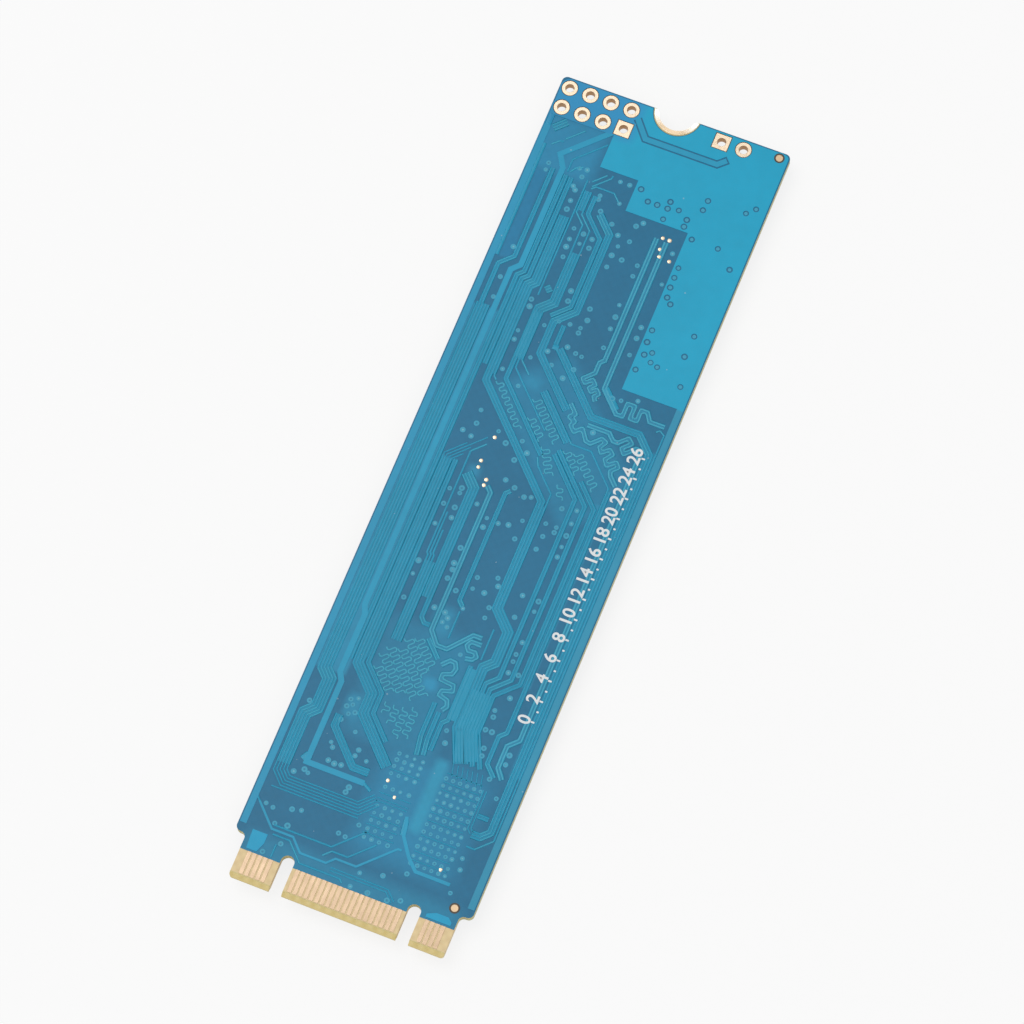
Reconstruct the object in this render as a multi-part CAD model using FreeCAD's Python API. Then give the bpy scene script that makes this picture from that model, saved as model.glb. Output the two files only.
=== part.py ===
import FreeCAD, Part
import math
import os
from FreeCAD import Vector

# Gumstick solid state drive: a thin keyed card that lies on the chips of its other side.
# Millimetres. X runs across the card, Y from the contact edge to the notched end, and Z up
# out of the bare side. The origin is under the middle of the card, level with the chip tops.

# Board
board_length = 80.0
laminate_thickness = 0.76
mask_thickness = 0.02
board_corner_radius = 0.5

# Contact edge
contact_count = 75
contact_pitch = 0.5
contact_width = 0.35
contact_length = 2.1
contact_thickness = 0.04
contact_end_gap = 0.1
tongue_length = 4.0
tongue_margin = 0.675
tongue_corner_radius = 0.3
shoulder_width = 1.075
shoulder_radius = 0.5
key_width = 1.2
key_depth = 3.5
left_key_contacts = (12, 19)
right_key_contacts = (59, 66)
bevel_run = 0.4
bevel_drop = 0.25

# Mounting notch
notch_radius = 1.75
notch_outset = 0.25
notch_land_width = 0.4
notch_land_end_gap = 0.06
notch_shoulder_radius = 0.5

# Plated holes, which are eight-sided like the other small rounds
small_round_sides = 8
plating_thickness = 0.05
hole_diameter = 0.85
land_diameter = 1.45
land_thickness = 0.04
land_opening_gap = 0.09
header_columns = 4
header_rows = 2
header_pitch = 2.0
header_side_inset = 0.95
header_end_inset = 1.0
jumper_x = 4.65
jumper_pitch = 2.1

# Sighting dots for placing machines
sighting_dot_radius = 0.33
sighting_opening_radius = 0.47
far_dot_side_inset = 0.95
far_dot_end_inset = 0.6
near_dot_side_inset = 1.75
near_dot_shoulder_gap = 0.4

# Mask-coated copper on the bare side
copper_height = 0.03
copper_spacing = 0.14
copper_edge_inset = 0.12
copper_corner_radius = 0.45
header_corner_radius = 1.1
edge_strip_width = 0.6
feed_track_width = 0.52
spur_track_width = 0.32
guard_track_width = 0.5
wide_track_width = 0.2
bus_track_width = 0.18
bus_pitch = 0.27
meander_track_width = 0.13
meander_step = 0.32
meander_reach = 0.3

# The sheet that the copper layout is drawn on, as its right far corner and its contact edge.
# Margins of the drawing keep their distance from the board's edges, and its middle takes up a
# change of the board's length or width.
drawn_corner = (11.0, 40.0)
drawn_mask_edge = -37.4
drawn_margins = (2.4, 20.0)

# Ball-mounted chips
package_height = 1.2
ball_height = 0.2
ball_diameter = 0.45
ball_inset = 1.0
pin_mark_radius = 0.4
pin_mark_depth = 0.05
pin_mark_inset = 1.0
flash_width = 12.0
flash_length = 18.0
near_flash_x = 0.0
far_flash_x = -1.0
controller_size = 11.0
controller_x = 3.4
controller_to_shoulder = 1.6
controller_to_flash = 10.4
flash_to_flash = 9.0

# Voltage regulator and its inductors
regulator_size = 4.0
regulator_height = 0.85
regulator_pads_per_side = 5
regulator_pad_pitch = 0.6
regulator_pad_width = 0.26
regulator_pad_length = 0.4
regulator_pad_thickness = 0.05
inductor_size = 3.0
inductor_height = 1.0
inductor_chamfer = 0.3
inductor_terminal_width = 0.9
inductor_terminal_thickness = 0.05
power_part_gap = 0.8

# Supply switch with bent leads
switch_length = 2.9
switch_width = 1.6
switch_height = 1.05
switch_standoff = 0.1
switch_taper = 0.12
switch_leads_per_side = 3
lead_pitch = 0.95
lead_width = 0.4
lead_reach = 0.6
lead_foot = 0.3
lead_shoulder = 0.12
lead_thickness = 0.14
switch_to_controller = 5.4

# Crystal
crystal_length = 3.2
crystal_width = 2.5
crystal_base_height = 0.4
crystal_lid_height = 0.3
crystal_lid_margin = 0.2
crystal_lid_chamfer = 0.25
crystal_to_switch = 1.6

# Chip capacitors and resistors: the length, width and height of each kind
large_capacitor_size = (2.0, 1.25, 0.85)
small_capacitor_size = (1.0, 0.5, 0.5)
resistor_size = (1.0, 0.5, 0.35)
end_cap_share = 0.22
small_part_gap = 0.7
small_part_spacing = 1.9

# Places and levels that follow from the sizes above
end_y = board_length / 2
tongue_half_width = (contact_count - 1) * contact_pitch / 4 + tongue_margin
side_x = tongue_half_width + shoulder_width
shoulder_y = -end_y + tongue_length
contact_end_y = -end_y + bevel_run + contact_end_gap
mask_edge_y = contact_end_y + contact_length
notch_y = end_y + notch_outset
notch_land_radius = notch_radius + notch_land_width

chip_face_z = package_height
laminate_bottom_z = chip_face_z + mask_thickness
laminate_top_z = laminate_bottom_z + laminate_thickness
bare_face_z = laminate_top_z + mask_thickness

controller_y = shoulder_y + controller_to_shoulder + controller_size / 2
near_flash_y = controller_y + controller_size / 2 + controller_to_flash + flash_length / 2
far_flash_y = near_flash_y + flash_length + flash_to_flash
power_column_x = (far_flash_x + flash_width / 2 + side_x) / 2


# Shared shapes

def save(name, solids):
    """Writes one node, whose pieces are separate solids."""
    Part.makeCompound(solids).exportStep("parts/" + name + ".step")


def box(center_x, center_y, size_x, size_y, low_z, high_z):
    """Block that is centred on a point of the board and reaches between two levels."""
    corner = Vector(center_x - size_x / 2, center_y - size_y / 2, low_z)
    return Part.makeBox(size_x, size_y, high_z - low_z, corner)


def cylinder(center_x, center_y, radius, low_z, high_z):
    """Upright cylinder between two levels."""
    return Part.makeCylinder(radius, high_z - low_z, Vector(center_x, center_y, low_z))


def round_prism(center_x, center_y, radius, low_z, high_z):
    """Small round piece with few sides."""
    points = []
    for index in range(small_round_sides):
        angle = 2 * math.pi * index / small_round_sides
        points.append((center_x + radius * math.cos(angle), center_y + radius * math.sin(angle)))
    return prism(polygon(points), low_z, high_z)


def prism(wire, low_z, high_z):
    """Solid under a closed outline, between two levels."""
    face = Part.Face(wire)
    face.translate(Vector(0, 0, low_z))
    return face.extrude(Vector(0, 0, high_z - low_z))


def polygon(points):
    """Closed outline through points of the board's plane."""
    vectors = [Vector(x, y, 0) for x, y in points]
    return Part.makePolygon(vectors + vectors[:1])


def cut_corner_points(center_x, center_y, size_x, size_y, chamfer):
    """Corner points of a rectangle with cut corners."""
    points = []
    for side_x, side_y in ((-1, -1), (1, -1), (1, 1), (-1, 1)):
        x = center_x + side_x * size_x / 2
        y = center_y + side_y * size_y / 2
        along_x = (x - side_x * chamfer, y)
        along_y = (x, y - side_y * chamfer)
        points += [along_y, along_x] if side_x == side_y else [along_x, along_y]
    return points


def rounded_corner(before, corner, after, radius):
    """Start, middle and end of the arc that rounds a corner."""
    back = (before - corner).normalize()
    onward = (after - corner).normalize()
    half_angle = math.acos(back.dot(onward)) / 2
    trim = radius / math.tan(half_angle)
    bisector = (back + onward).normalize()
    middle = corner + bisector * (radius / math.sin(half_angle) - radius)
    return corner + back * trim, middle, corner + onward * trim


def rounded_outline(corners):
    """Closed outline through corners (x, y, radius), with an arc at each one that has a radius."""
    points = [Vector(x, y, 0) for x, y, radius in corners]
    count = len(points)
    arcs = []
    for index, (x, y, radius) in enumerate(corners):
        if radius > 0:
            neighbours = (points[index - 1], points[index], points[(index + 1) % count])
            arcs.append(rounded_corner(*neighbours, radius))
        else:
            arcs.append((points[index], None, points[index]))
    edges = []
    for index, (start, middle, end) in enumerate(arcs):
        if middle is not None:
            edges.append(Part.Arc(start, middle, end).toShape())
        following = arcs[(index + 1) % count][0]
        if end.distanceToPoint(following) > 1e-6:
            edges.append(Part.LineSegment(end, following).toShape())
    return Part.Wire(edges)


# Board outline

def contact_x(number):
    """Place of a contact: the numbers alternate between the two sides of the card."""
    return (number - (contact_count + 1) / 2) * contact_pitch / 2


def key_x(removed_contacts):
    """Middle of a key slot, which takes the place of a run of contacts."""
    return contact_x(sum(removed_contacts) / 2)


def key_corners(removed_contacts):
    """Key slot as a stretch of the outline, with a round inner end."""
    left = key_x(removed_contacts) - key_width / 2
    right = left + key_width
    inner = -end_y + key_depth
    return [
        (left, -end_y, 0),
        (left, inner, key_width / 2),
        (right, inner, key_width / 2),
        (right, -end_y, 0),
    ]


def card_blank():
    """Outline of the card before the mounting notch is cut."""
    corners = [(-tongue_half_width, -end_y, tongue_corner_radius)]
    corners += key_corners(left_key_contacts)
    corners += key_corners(right_key_contacts)
    corners += [
        (tongue_half_width, -end_y, tongue_corner_radius),
        (tongue_half_width, shoulder_y, shoulder_radius),
        (side_x, shoulder_y, shoulder_radius),
        (side_x, end_y, board_corner_radius),
        (-side_x, end_y, board_corner_radius),
        (-side_x, shoulder_y, shoulder_radius),
        (-tongue_half_width, shoulder_y, shoulder_radius),
    ]
    return rounded_outline(corners)


def notch_shoulder():
    """Centre of the arc that eases the notch into the card's end, on the right."""
    reach = notch_radius + notch_shoulder_radius
    center_y = end_y - notch_shoulder_radius
    center_x = math.sqrt(reach ** 2 - (center_y - notch_y) ** 2)
    return center_x, center_y


def notch_top_y():
    """Level where the round of the notch passes into its shoulders."""
    share = notch_radius / (notch_radius + notch_shoulder_radius)
    return notch_y + (notch_shoulder()[1] - notch_y) * share


def notch_tool(low_z, high_z):
    """Cutter for the notch: a round bottom, and a mouth that flares over rounded shoulders."""
    center_x, center_y = notch_shoulder()
    top = notch_top_y()
    mouth = box(0, (top + end_y) / 2, 2 * center_x, end_y - top, low_z, high_z)
    for side in (-1, 1):
        mouth = mouth.cut(cylinder(side * center_x, center_y, notch_shoulder_radius, low_z, high_z))
    return mouth.fuse(cylinder(0, notch_y, notch_radius, low_z, high_z))


def card_plate(low_z, high_z):
    """Plate with the full outline of the card."""
    return prism(card_blank(), low_z, high_z).cut(notch_tool(low_z, high_z))


# Plated holes

def header_places():
    """Holes of the service header, with the square land last in the inner row."""
    places = []
    for row in range(header_rows):
        for column in range(header_columns):
            x = -side_x + header_side_inset + column * header_pitch
            y = end_y - header_end_inset - row * header_pitch
            is_square = row == header_rows - 1 and column == header_columns - 1
            places.append((x, y, is_square))
    return places


def jumper_places():
    """The two holes of the jumper, the first with a square land."""
    y = end_y - header_end_inset
    return [(jumper_x, y, True), (jumper_x + jumper_pitch, y, False)]


def land_blank(place, margin, low_z, high_z):
    """Full land around a hole, grown by a margin."""
    x, y, is_square = place
    size = land_diameter + 2 * margin
    if is_square:
        return box(x, y, size, size, low_z, high_z)
    return round_prism(x, y, size / 2, low_z, high_z)


def plated_hole(place):
    """Barrel through the laminate with a land on each face."""
    x, y, is_square = place
    low = laminate_bottom_z - land_thickness
    high = laminate_top_z + land_thickness
    barrel = round_prism(x, y, hole_diameter / 2 + plating_thickness, laminate_bottom_z, laminate_top_z)
    lower_land = land_blank(place, 0, low, laminate_bottom_z)
    upper_land = land_blank(place, 0, laminate_top_z, high)
    bore = round_prism(x, y, hole_diameter / 2, low, high)
    return barrel.fuse([lower_land, upper_land]).cut(bore).removeSplitter()


def notch_land_blank(margin, low_z, high_z):
    """Disc around the notch, grown by a margin, that stops just short of the card's end."""
    radius = notch_land_radius + margin
    stop = end_y - notch_land_end_gap + margin
    disc = cylinder(0, notch_y, radius, low_z, high_z)
    return disc.cut(box(0, stop + radius, 2 * radius, 2 * radius, low_z, high_z))


def notch_land(low_z, high_z):
    """Ring of bare copper around the notch."""
    return notch_land_blank(0, low_z, high_z).cut(notch_tool(low_z, high_z))


def notch_lands():
    """Bare ground land around the notch on each face."""
    lower = notch_land(laminate_bottom_z - land_thickness, laminate_bottom_z)
    upper = notch_land(laminate_top_z, laminate_top_z + land_thickness)
    return [lower, upper]


def sighting_places():
    """Two bare dots in opposite corners of the right side."""
    far = (side_x - far_dot_side_inset, end_y - far_dot_end_inset)
    near = (side_x - near_dot_side_inset, shoulder_y + near_dot_shoulder_gap)
    return [far, near]


# Laminate, mask and contacts

def edge_bevel(face_z, inward):
    """Wedge that bevels the contact edge on one face; inward is the way into the laminate."""
    slope = bevel_drop / bevel_run
    outside_y = -end_y - bevel_run
    profile = [
        Vector(-side_x, -end_y + bevel_run, face_z),
        Vector(-side_x, outside_y, face_z),
        Vector(-side_x, outside_y, face_z + inward * slope * 2 * bevel_run),
    ]
    return Part.Face(Part.makePolygon(profile + profile[:1])).extrude(Vector(2 * side_x, 0, 0))


def board_laminate():
    """Glass-fibre core with its outline, keys, notch, holes and bevelled contact edge."""
    plate = card_plate(laminate_bottom_z, laminate_top_z)
    barrel_radius = hole_diameter / 2 + plating_thickness
    tools = [edge_bevel(laminate_top_z, -1), edge_bevel(laminate_bottom_z, 1)]
    for x, y, is_square in header_places() + jumper_places():
        tools.append(round_prism(x, y, barrel_radius, laminate_bottom_z, laminate_top_z))
    return plate.cut(tools)


def mask_film(low_z, high_z, openings):
    """Solder mask on one face: the card's outline without the contacts and bare lands."""
    reach = 2 * side_x
    contact_zone = box(0, mask_edge_y - reach / 2, reach, reach, low_z, high_z)
    tools = [contact_zone, notch_land_blank(land_opening_gap, low_z, high_z)]
    for place in header_places() + jumper_places():
        tools.append(land_blank(place, land_opening_gap, low_z, high_z))
    return card_plate(low_z, high_z).cut(tools + openings)


def bare_side_mask():
    """Mask on the bare side, which also leaves the sighting dots open."""
    openings = []
    for x, y in sighting_places():
        openings.append(round_prism(x, y, sighting_opening_radius, laminate_top_z, bare_face_z))
    return mask_film(laminate_top_z, bare_face_z, openings)


def chip_side_mask():
    """Mask on the chip side."""
    return mask_film(chip_face_z, laminate_bottom_z, [])


def contact_row(first_number, low_z, high_z):
    """Every second contact from a number on, apart from those that the keys take away."""
    fingers = []
    middle_y = (contact_end_y + mask_edge_y) / 2
    for number in range(first_number, contact_count + 1, 2):
        in_left_key = left_key_contacts[0] <= number <= left_key_contacts[1]
        in_right_key = right_key_contacts[0] <= number <= right_key_contacts[1]
        if not in_left_key and not in_right_key:
            x = contact_x(number)
            fingers.append(box(x, middle_y, contact_width, contact_length, low_z, high_z))
    return fingers


def sighting_dots():
    """Bare gold dots on the laminate."""
    top = laminate_top_z + land_thickness
    return [round_prism(x, y, sighting_dot_radius, laminate_top_z, top) for x, y in sighting_places()]


# Copper layout on the bare side

def across(x):
    """Drawn place across the card, moved to the board's own width."""
    drawn_middle = drawn_corner[0] - drawn_margins[0]
    board_middle = side_x - drawn_margins[0]
    if abs(x) <= drawn_middle:
        return x * board_middle / drawn_middle
    return math.copysign(board_middle + abs(x) - drawn_middle, x)


def along(y):
    """Drawn place along the card, moved to the board's own length."""
    drawn_low = drawn_mask_edge + drawn_margins[1]
    drawn_high = drawn_corner[1] - drawn_margins[1]
    board_low = mask_edge_y + drawn_margins[1]
    board_high = end_y - drawn_margins[1]
    if y <= drawn_low:
        return board_low + y - drawn_low
    if y >= drawn_high:
        return board_high + y - drawn_high
    return board_low + (y - drawn_low) * (board_high - board_low) / (drawn_high - drawn_low)


def offset_route(route, offset):
    """Route moved sideways to its left by an offset, with mitred corners."""
    normals = []
    for (x0, y0), (x1, y1) in zip(route, route[1:]):
        length = math.hypot(x1 - x0, y1 - y0)
        normals.append(((y0 - y1) / length, (x1 - x0) / length))
    before = normals[:1] + normals
    after = normals + normals[-1:]
    moved = []
    for (x, y), (ax, ay), (bx, by) in zip(route, before, after):
        scale = offset / (1 + ax * bx + ay * by)
        moved.append((x + (ax + bx) * scale, y + (ay + by) * scale))
    return moved


def strip_points(route, width):
    """Outline of a strip of one width along a route."""
    return offset_route(route, width / 2) + offset_route(route, -width / 2)[::-1]


def coated_copper(points):
    """Raised copper under the mask, from its drawn outline."""
    placed = [(across(x), along(y)) for x, y in points]
    return prism(polygon(placed), bare_face_z, bare_face_z + copper_height)


def track(route, width):
    """One track of a given width."""
    return coated_copper(strip_points(route, width))


def bus(route, count):
    """Parallel tracks either side of a middle route."""
    tracks = []
    for index in range(count):
        offset = (index - (count - 1) / 2) * bus_pitch
        tracks.append(track(offset_route(route, offset), bus_track_width))
    return tracks


def meander(start, end):
    """Track that swings from side to side to gain length on its way."""
    run = math.dist(start, end)
    ux, uy = (end[0] - start[0]) / run, (end[1] - start[1]) / run
    turns = int(run / meander_step)
    route = []
    for turn in range(turns):
        side = meander_reach if turn % 2 else -meander_reach
        for distance in (turn * meander_step, (turn + 1) * meander_step):
            x = start[0] + ux * distance - uy * side
            y = start[1] + uy * distance + ux * side
            route.append((x, y))
    return track(route, meander_track_width)


feed_route = [
    (-4.9, 36.25), (-8.45, 32.7), (-7.72, 31.5), (-7.72, 21.4), (-8.4, 20.7), (-8.4, -13.2),
    (-8.05, -14.0), (-8.05, -19.6), (-7.6, -20.4), (-7.6, -28.2), (-2.2, -28.2),
]
spur_route = [
    (2.35, -29.6), (2.65, -30.6), (2.75, -31.3), (3.9, -32.9), (4.9, -33.85), (8.1, -33.85),
]
guard_route = [(-3.2, 38.4), (-1.85, 36.8), (5.05, 36.8), (5.75, 37.45)]
supply_tap_route = [
    (-10.0, -32.9), (-8.05, -34.85), (-6.05, -34.85), (-4.95, -35.95), (-2.55, -35.95),
    (-1.9, -35.3), (0.0, -35.3), (2.75, -32.55), (3.1, -32.55),
]

# Middle routes of the buses, by the number of their tracks
fivefold_routes = [
    # Left edge, round a row of vias, then across to the controller
    [(-9.45, 16.8), (-9.45, -19.75), (-8.65, -20.55), (-8.65, -23.35), (-9.45, -24.15),
     (-9.45, -29.65), (-8.65, -30.45), (-1.85, -30.45), (-0.6, -29.2)],
]
fourfold_routes = [
    # Beside the supply feed
    [(-4.5, 4.7), (-6.9, 2.3), (-6.9, -18.28), (-4.72, -20.46), (-4.72, -22.41), (-0.99, -26.14)],
    # From the far flash chip to the controller
    [(-6.6, 20.0), (-6.6, 10.4), (2.5, 1.3), (2.5, -9.3), (4.2, -11.0), (4.2, -22.5)],
]
triple_routes = [
    # Beside the supply feed
    [(-6.95, 31.0), (-6.95, 21.0)],
    [(-5.55, 31.0), (-5.55, 21.0)],
    # Long diagonals from the far flash chip
    [(-4.6, 17.8), (-4.6, 11.3), (0.7, 6.0)],
    [(-3.0, 17.2), (-3.0, 14.2), (1.2, 10.0)],
    [(-1.2, 14.9), (3.5, 10.2), (8.1, 10.2), (9.6, 8.7), (9.6, -28.3), (8.9, -29.0), (8.1, -29.0)],
    # Over the two flash chips
    [(-1.4, 26.0), (-1.4, 19.0)],
    [(-3.55, 25.0), (-3.55, 19.2)],
    [(-4.65, -7.6), (-4.65, -14.4)],
]
double_routes = [
    # Beside the supply feed
    [(-7.7, 19.6), (-7.7, -12.6)],
    # Long diagonals from the far flash chip
    [(-1.3, 11.25), (2.75, 7.2), (4.75, 7.2), (7.55, 4.4), (7.55, -19.5), (7.0, -20.05), (7.0, -23.0)],
    [(2.1, 6.3), (6.1, 2.3), (6.1, -15.0)],
    [(4.9, 4.25), (6.95, 2.2), (6.95, -14.0)],
    # Over the two flash chips
    [(3.6, 27.6), (3.6, 13.1), (5.5, 11.2)],
    [(2.6, 28.2), (2.6, 14.4)],
    [(5.05, 1.9), (5.05, -22.5)],
    [(-4.6, 1.3), (-3.45, 0.15), (-3.45, -9.9)],
    [(-2.1, 0.2), (-2.1, -10.8)],
    [(-0.85, 0.3), (-0.85, -9.8)],
    # Right edge
    [(8.85, 7.5), (8.85, -19.5), (8.2, -20.15)],
    # Beside the contacts
    [(-2.0, -36.3), (3.3, -36.3), (4.1, -37.1)],
]
single_routes = [
    # Over the near flash chip
    [(-5.15, 2.4), (-5.15, -6.6)],
    # Right edge
    [(10.14, 9.8), (10.14, -28.9), (8.87, -30.17), (8.1, -30.17)],
    # Beside the contacts
    [(-8.0, -34.45), (-2.65, -34.45), (-0.2, -32.0)],
    [(-3.1, -35.45), (-2.45, -34.8), (-1.0, -34.8), (0.9, -32.9)],
    [(-7.8, -35.25), (-6.2, -35.25), (-4.65, -36.8), (-2.6, -36.8)],
]

# Start and end of each length-matching meander
meander_runs = [
    ((-5.2, 10.45), (-0.9, 6.15)),
    ((-1.6, 9.95), (1.6, 6.75)),
    ((3.95, 6.45), (6.6, 3.8)),
    ((-5.4, -16.1), (-2.0, -19.5)),
    ((-4.9, -15.5), (-1.3, -19.1)),
    ((-4.2, -15.1), (-0.6, -18.7)),
    ((-3.4, -14.8), (-0.2, -18.0)),
    ((1.4, -15.6), (1.4, -19.6)),
]


def land_clearances():
    """Space that coated copper leaves around every bare land and dot."""
    low, high = bare_face_z, bare_face_z + copper_height
    margin = land_opening_gap + copper_spacing / 2
    tools = [notch_tool(low, high), notch_land_blank(margin, low, high)]
    for place in header_places() + jumper_places():
        tools.append(land_blank(place, margin, low, high))
    for x, y in sighting_places():
        tools.append(round_prism(x, y, sighting_opening_radius + copper_spacing / 2, low, high))
    return tools


def ground_field():
    """Copper field of the far right corner, with the strip down the right edge."""
    edge = drawn_corner[0] - copper_edge_inset
    far = drawn_corner[1] - copper_edge_inset
    strip = edge - edge_strip_width
    corners = [
        (-edge, 36.1, 0), (-4.65, 36.1, 0), (-4.65, 32.8, 0), (-0.95, 32.8, 0),
        (-0.95, 29.65, 0), (5.05, 29.65, 0), (5.05, 13.65, 0), (strip, 13.65, 0),
        (strip, -35.2, 0), (edge, -35.2, 0), (edge, far, copper_corner_radius),
        (-edge, far, header_corner_radius),
    ]
    placed = [(across(x), along(y), radius) for x, y, radius in corners]
    field = prism(rounded_outline(placed), bare_face_z, bare_face_z + copper_height)
    channel = track(guard_route, guard_track_width + 2 * copper_spacing)
    return field.cut(land_clearances() + [channel])


def ground_copper():
    """Ground field, the strip down the left edge and two patches beside the contacts."""
    edge = drawn_corner[0] - copper_edge_inset
    strip = edge - edge_strip_width
    left_strip = coated_copper([(-edge, -35.2), (-strip, -35.2), (-strip, 35.0), (-edge, 35.0)])
    left_patch = coated_copper(
        [(-9.55, -35.45), (-8.15, -35.45), (-8.15, -36.3), (-8.5, -37.2), (-9.45, -37.2)])
    right_patch = coated_copper(
        [(7.2, -37.2), (7.2, -36.9), (8.0, -36.55), (9.1, -36.55), (9.5, -36.9), (9.5, -37.2)])
    return [ground_field(), left_strip, left_patch, right_patch]


def power_tracks():
    """Supply feed and the other wide tracks."""
    feed = track(feed_route, feed_track_width).cut(land_clearances() + [ground_field()])
    guard = track(guard_route, guard_track_width).cut(land_clearances())
    spur = track(spur_route, spur_track_width)
    supply_tap = track(supply_tap_route, wide_track_width)
    return [feed, guard, spur, supply_tap]


def bus_tracks():
    """All parallel signal tracks."""
    by_count = [single_routes, double_routes, triple_routes, fourfold_routes, fivefold_routes]
    tracks = []
    for count, routes in enumerate(by_count, start=1):
        for route in routes:
            tracks += bus(route, count)
    return tracks


def matched_tracks():
    """All length-matching meanders."""
    return [meander(start, end) for start, end in meander_runs]


# Ball-mounted chips

def ball_chip(center_x, center_y, size_x, size_y):
    """Moulded package with a shallow round mark at its first ball."""
    body = box(center_x, center_y, size_x, size_y, 0, package_height - ball_height)
    mark_x = center_x - size_x / 2 + pin_mark_inset
    mark_y = center_y + size_y / 2 - pin_mark_inset
    return body.cut(round_prism(mark_x, mark_y, pin_mark_radius, 0, pin_mark_depth))


def corner_balls(center_x, center_y, size_x, size_y):
    """One support joint in each corner of a package."""
    balls = []
    for side_across in (-1, 1):
        for side_along in (-1, 1):
            x = center_x + side_across * (size_x / 2 - ball_inset)
            y = center_y + side_along * (size_y / 2 - ball_inset)
            balls.append(round_prism(x, y, ball_diameter / 2, package_height - ball_height, chip_face_z))
    return balls


def support_balls():
    """Corner joints of the controller and both flash chips."""
    balls = corner_balls(controller_x, controller_y, controller_size, controller_size)
    balls += corner_balls(near_flash_x, near_flash_y, flash_width, flash_length)
    return balls + corner_balls(far_flash_x, far_flash_y, flash_width, flash_length)


# Voltage regulator and inductors

def regulator_body():
    """Leadless regulator package."""
    top = chip_face_z - regulator_pad_thickness
    return box(power_column_x, far_flash_y, regulator_size, regulator_size, top - regulator_height, top)


def regulator_pads():
    """Rows of solder pads under the four edges of the regulator."""
    low = chip_face_z - regulator_pad_thickness
    reach = (regulator_size - regulator_pad_length) / 2
    pads = []
    for index in range(regulator_pads_per_side):
        shift = (index - (regulator_pads_per_side - 1) / 2) * regulator_pad_pitch
        for side in (-1, 1):
            pads.append(box(power_column_x + side * reach, far_flash_y + shift,
                            regulator_pad_length, regulator_pad_width, low, chip_face_z))
            pads.append(box(power_column_x + shift, far_flash_y + side * reach,
                            regulator_pad_width, regulator_pad_length, low, chip_face_z))
    return pads


def inductor_places():
    """One inductor on either side of the regulator, along the card."""
    step = regulator_size / 2 + power_part_gap + inductor_size / 2
    return [far_flash_y - step, far_flash_y + step]


def inductor_body(center_y):
    """Moulded ferrite block with cut corners."""
    corners = cut_corner_points(power_column_x, center_y, inductor_size, inductor_size, inductor_chamfer)
    top = chip_face_z - inductor_terminal_thickness
    return prism(polygon(corners), chip_face_z - inductor_height, top)


def inductor_terminals():
    """Two flat terminals under each inductor."""
    low = chip_face_z - inductor_terminal_thickness
    shift = (inductor_size - inductor_terminal_width) / 2
    length = inductor_size - 2 * inductor_chamfer
    terminals = []
    for center_y in inductor_places():
        for side in (-1, 1):
            terminals.append(box(power_column_x + side * shift, center_y,
                                 inductor_terminal_width, length, low, chip_face_z))
    return terminals


# Supply switch and crystal

switch_x = controller_x - controller_size / 2 - switch_to_controller
switch_y = controller_y - controller_size / 4
crystal_y = switch_y + switch_length / 2 + crystal_to_switch + crystal_width / 2


def switch_section(inset, z):
    """Level section of the switch body."""
    half_x = switch_width / 2 - inset
    half_y = switch_length / 2 - inset
    corners = [(-half_x, -half_y), (half_x, -half_y), (half_x, half_y), (-half_x, half_y)]
    points = [Vector(switch_x + x, switch_y + y, z) for x, y in corners]
    return Part.makePolygon(points + points[:1])


def switch_levels():
    """Lowest, parting and highest level of the switch body."""
    high = chip_face_z - switch_standoff
    low = chip_face_z - switch_height
    return low, (low + high) / 2, high


def switch_body():
    """Moulded body that tapers both ways from its parting line."""
    low, middle, high = switch_levels()
    sections = [switch_section(switch_taper, low), switch_section(0, middle),
                switch_section(switch_taper, high)]
    return Part.makeLoft(sections, True, True)


def switch_leads():
    """Leads that leave the parting line and bend to flat feet on the board."""
    middle = switch_levels()[1]
    foot_z = chip_face_z - lead_thickness / 2
    route = [(0, middle), (lead_shoulder, middle), (lead_reach - lead_foot, foot_z), (lead_reach, foot_z)]
    leads = []
    for side in (-1, 1):
        for index in range(switch_leads_per_side):
            y = switch_y + (index - (switch_leads_per_side - 1) / 2) * lead_pitch - lead_width / 2
            points = []
            for outward, z in strip_points(route, lead_thickness):
                points.append(Vector(switch_x + side * (switch_width / 2 + outward), y, z))
            face = Part.Face(Part.makePolygon(points + points[:1]))
            leads.append(face.extrude(Vector(0, lead_width, 0)))
    return leads


def crystal_base():
    """Ceramic base of the crystal."""
    low = chip_face_z - crystal_base_height
    return box(switch_x, crystal_y, crystal_length, crystal_width, low, chip_face_z)


def crystal_lid():
    """Metal lid of the crystal, with cut corners."""
    size_x = crystal_length - 2 * crystal_lid_margin
    size_y = crystal_width - 2 * crystal_lid_margin
    corners = cut_corner_points(switch_x, crystal_y, size_x, size_y, crystal_lid_chamfer)
    high = chip_face_z - crystal_base_height
    return prism(polygon(corners), high - crystal_lid_height, high)


# Chip capacitors and resistors

def row_places(center_x, center_y, count, spacing, runs_along):
    """Evenly spaced places in a row along or across the card, with each part end to end in it."""
    places = []
    for index in range(count):
        shift = (index - (count - 1) / 2) * spacing
        if runs_along:
            places.append((center_x, center_y + shift, True))
        else:
            places.append((center_x + shift, center_y, False))
    return places


def large_capacitor_places():
    """Large capacitors past both inductors and beside the near flash chip."""
    length, width, height = large_capacitor_size
    step = inductor_size / 2 + power_part_gap + width / 2
    low_y, high_y = inductor_places()
    spacing = length + small_part_gap
    places = row_places(power_column_x, low_y - step, 2, spacing, False)
    places += row_places(power_column_x, high_y + step, 2, spacing, False)
    column_x = near_flash_x + flash_width / 2 + 2 * small_part_gap + small_capacitor_size[1] + width
    return places + row_places(column_x, near_flash_y, 3, 2 * spacing, True)


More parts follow.
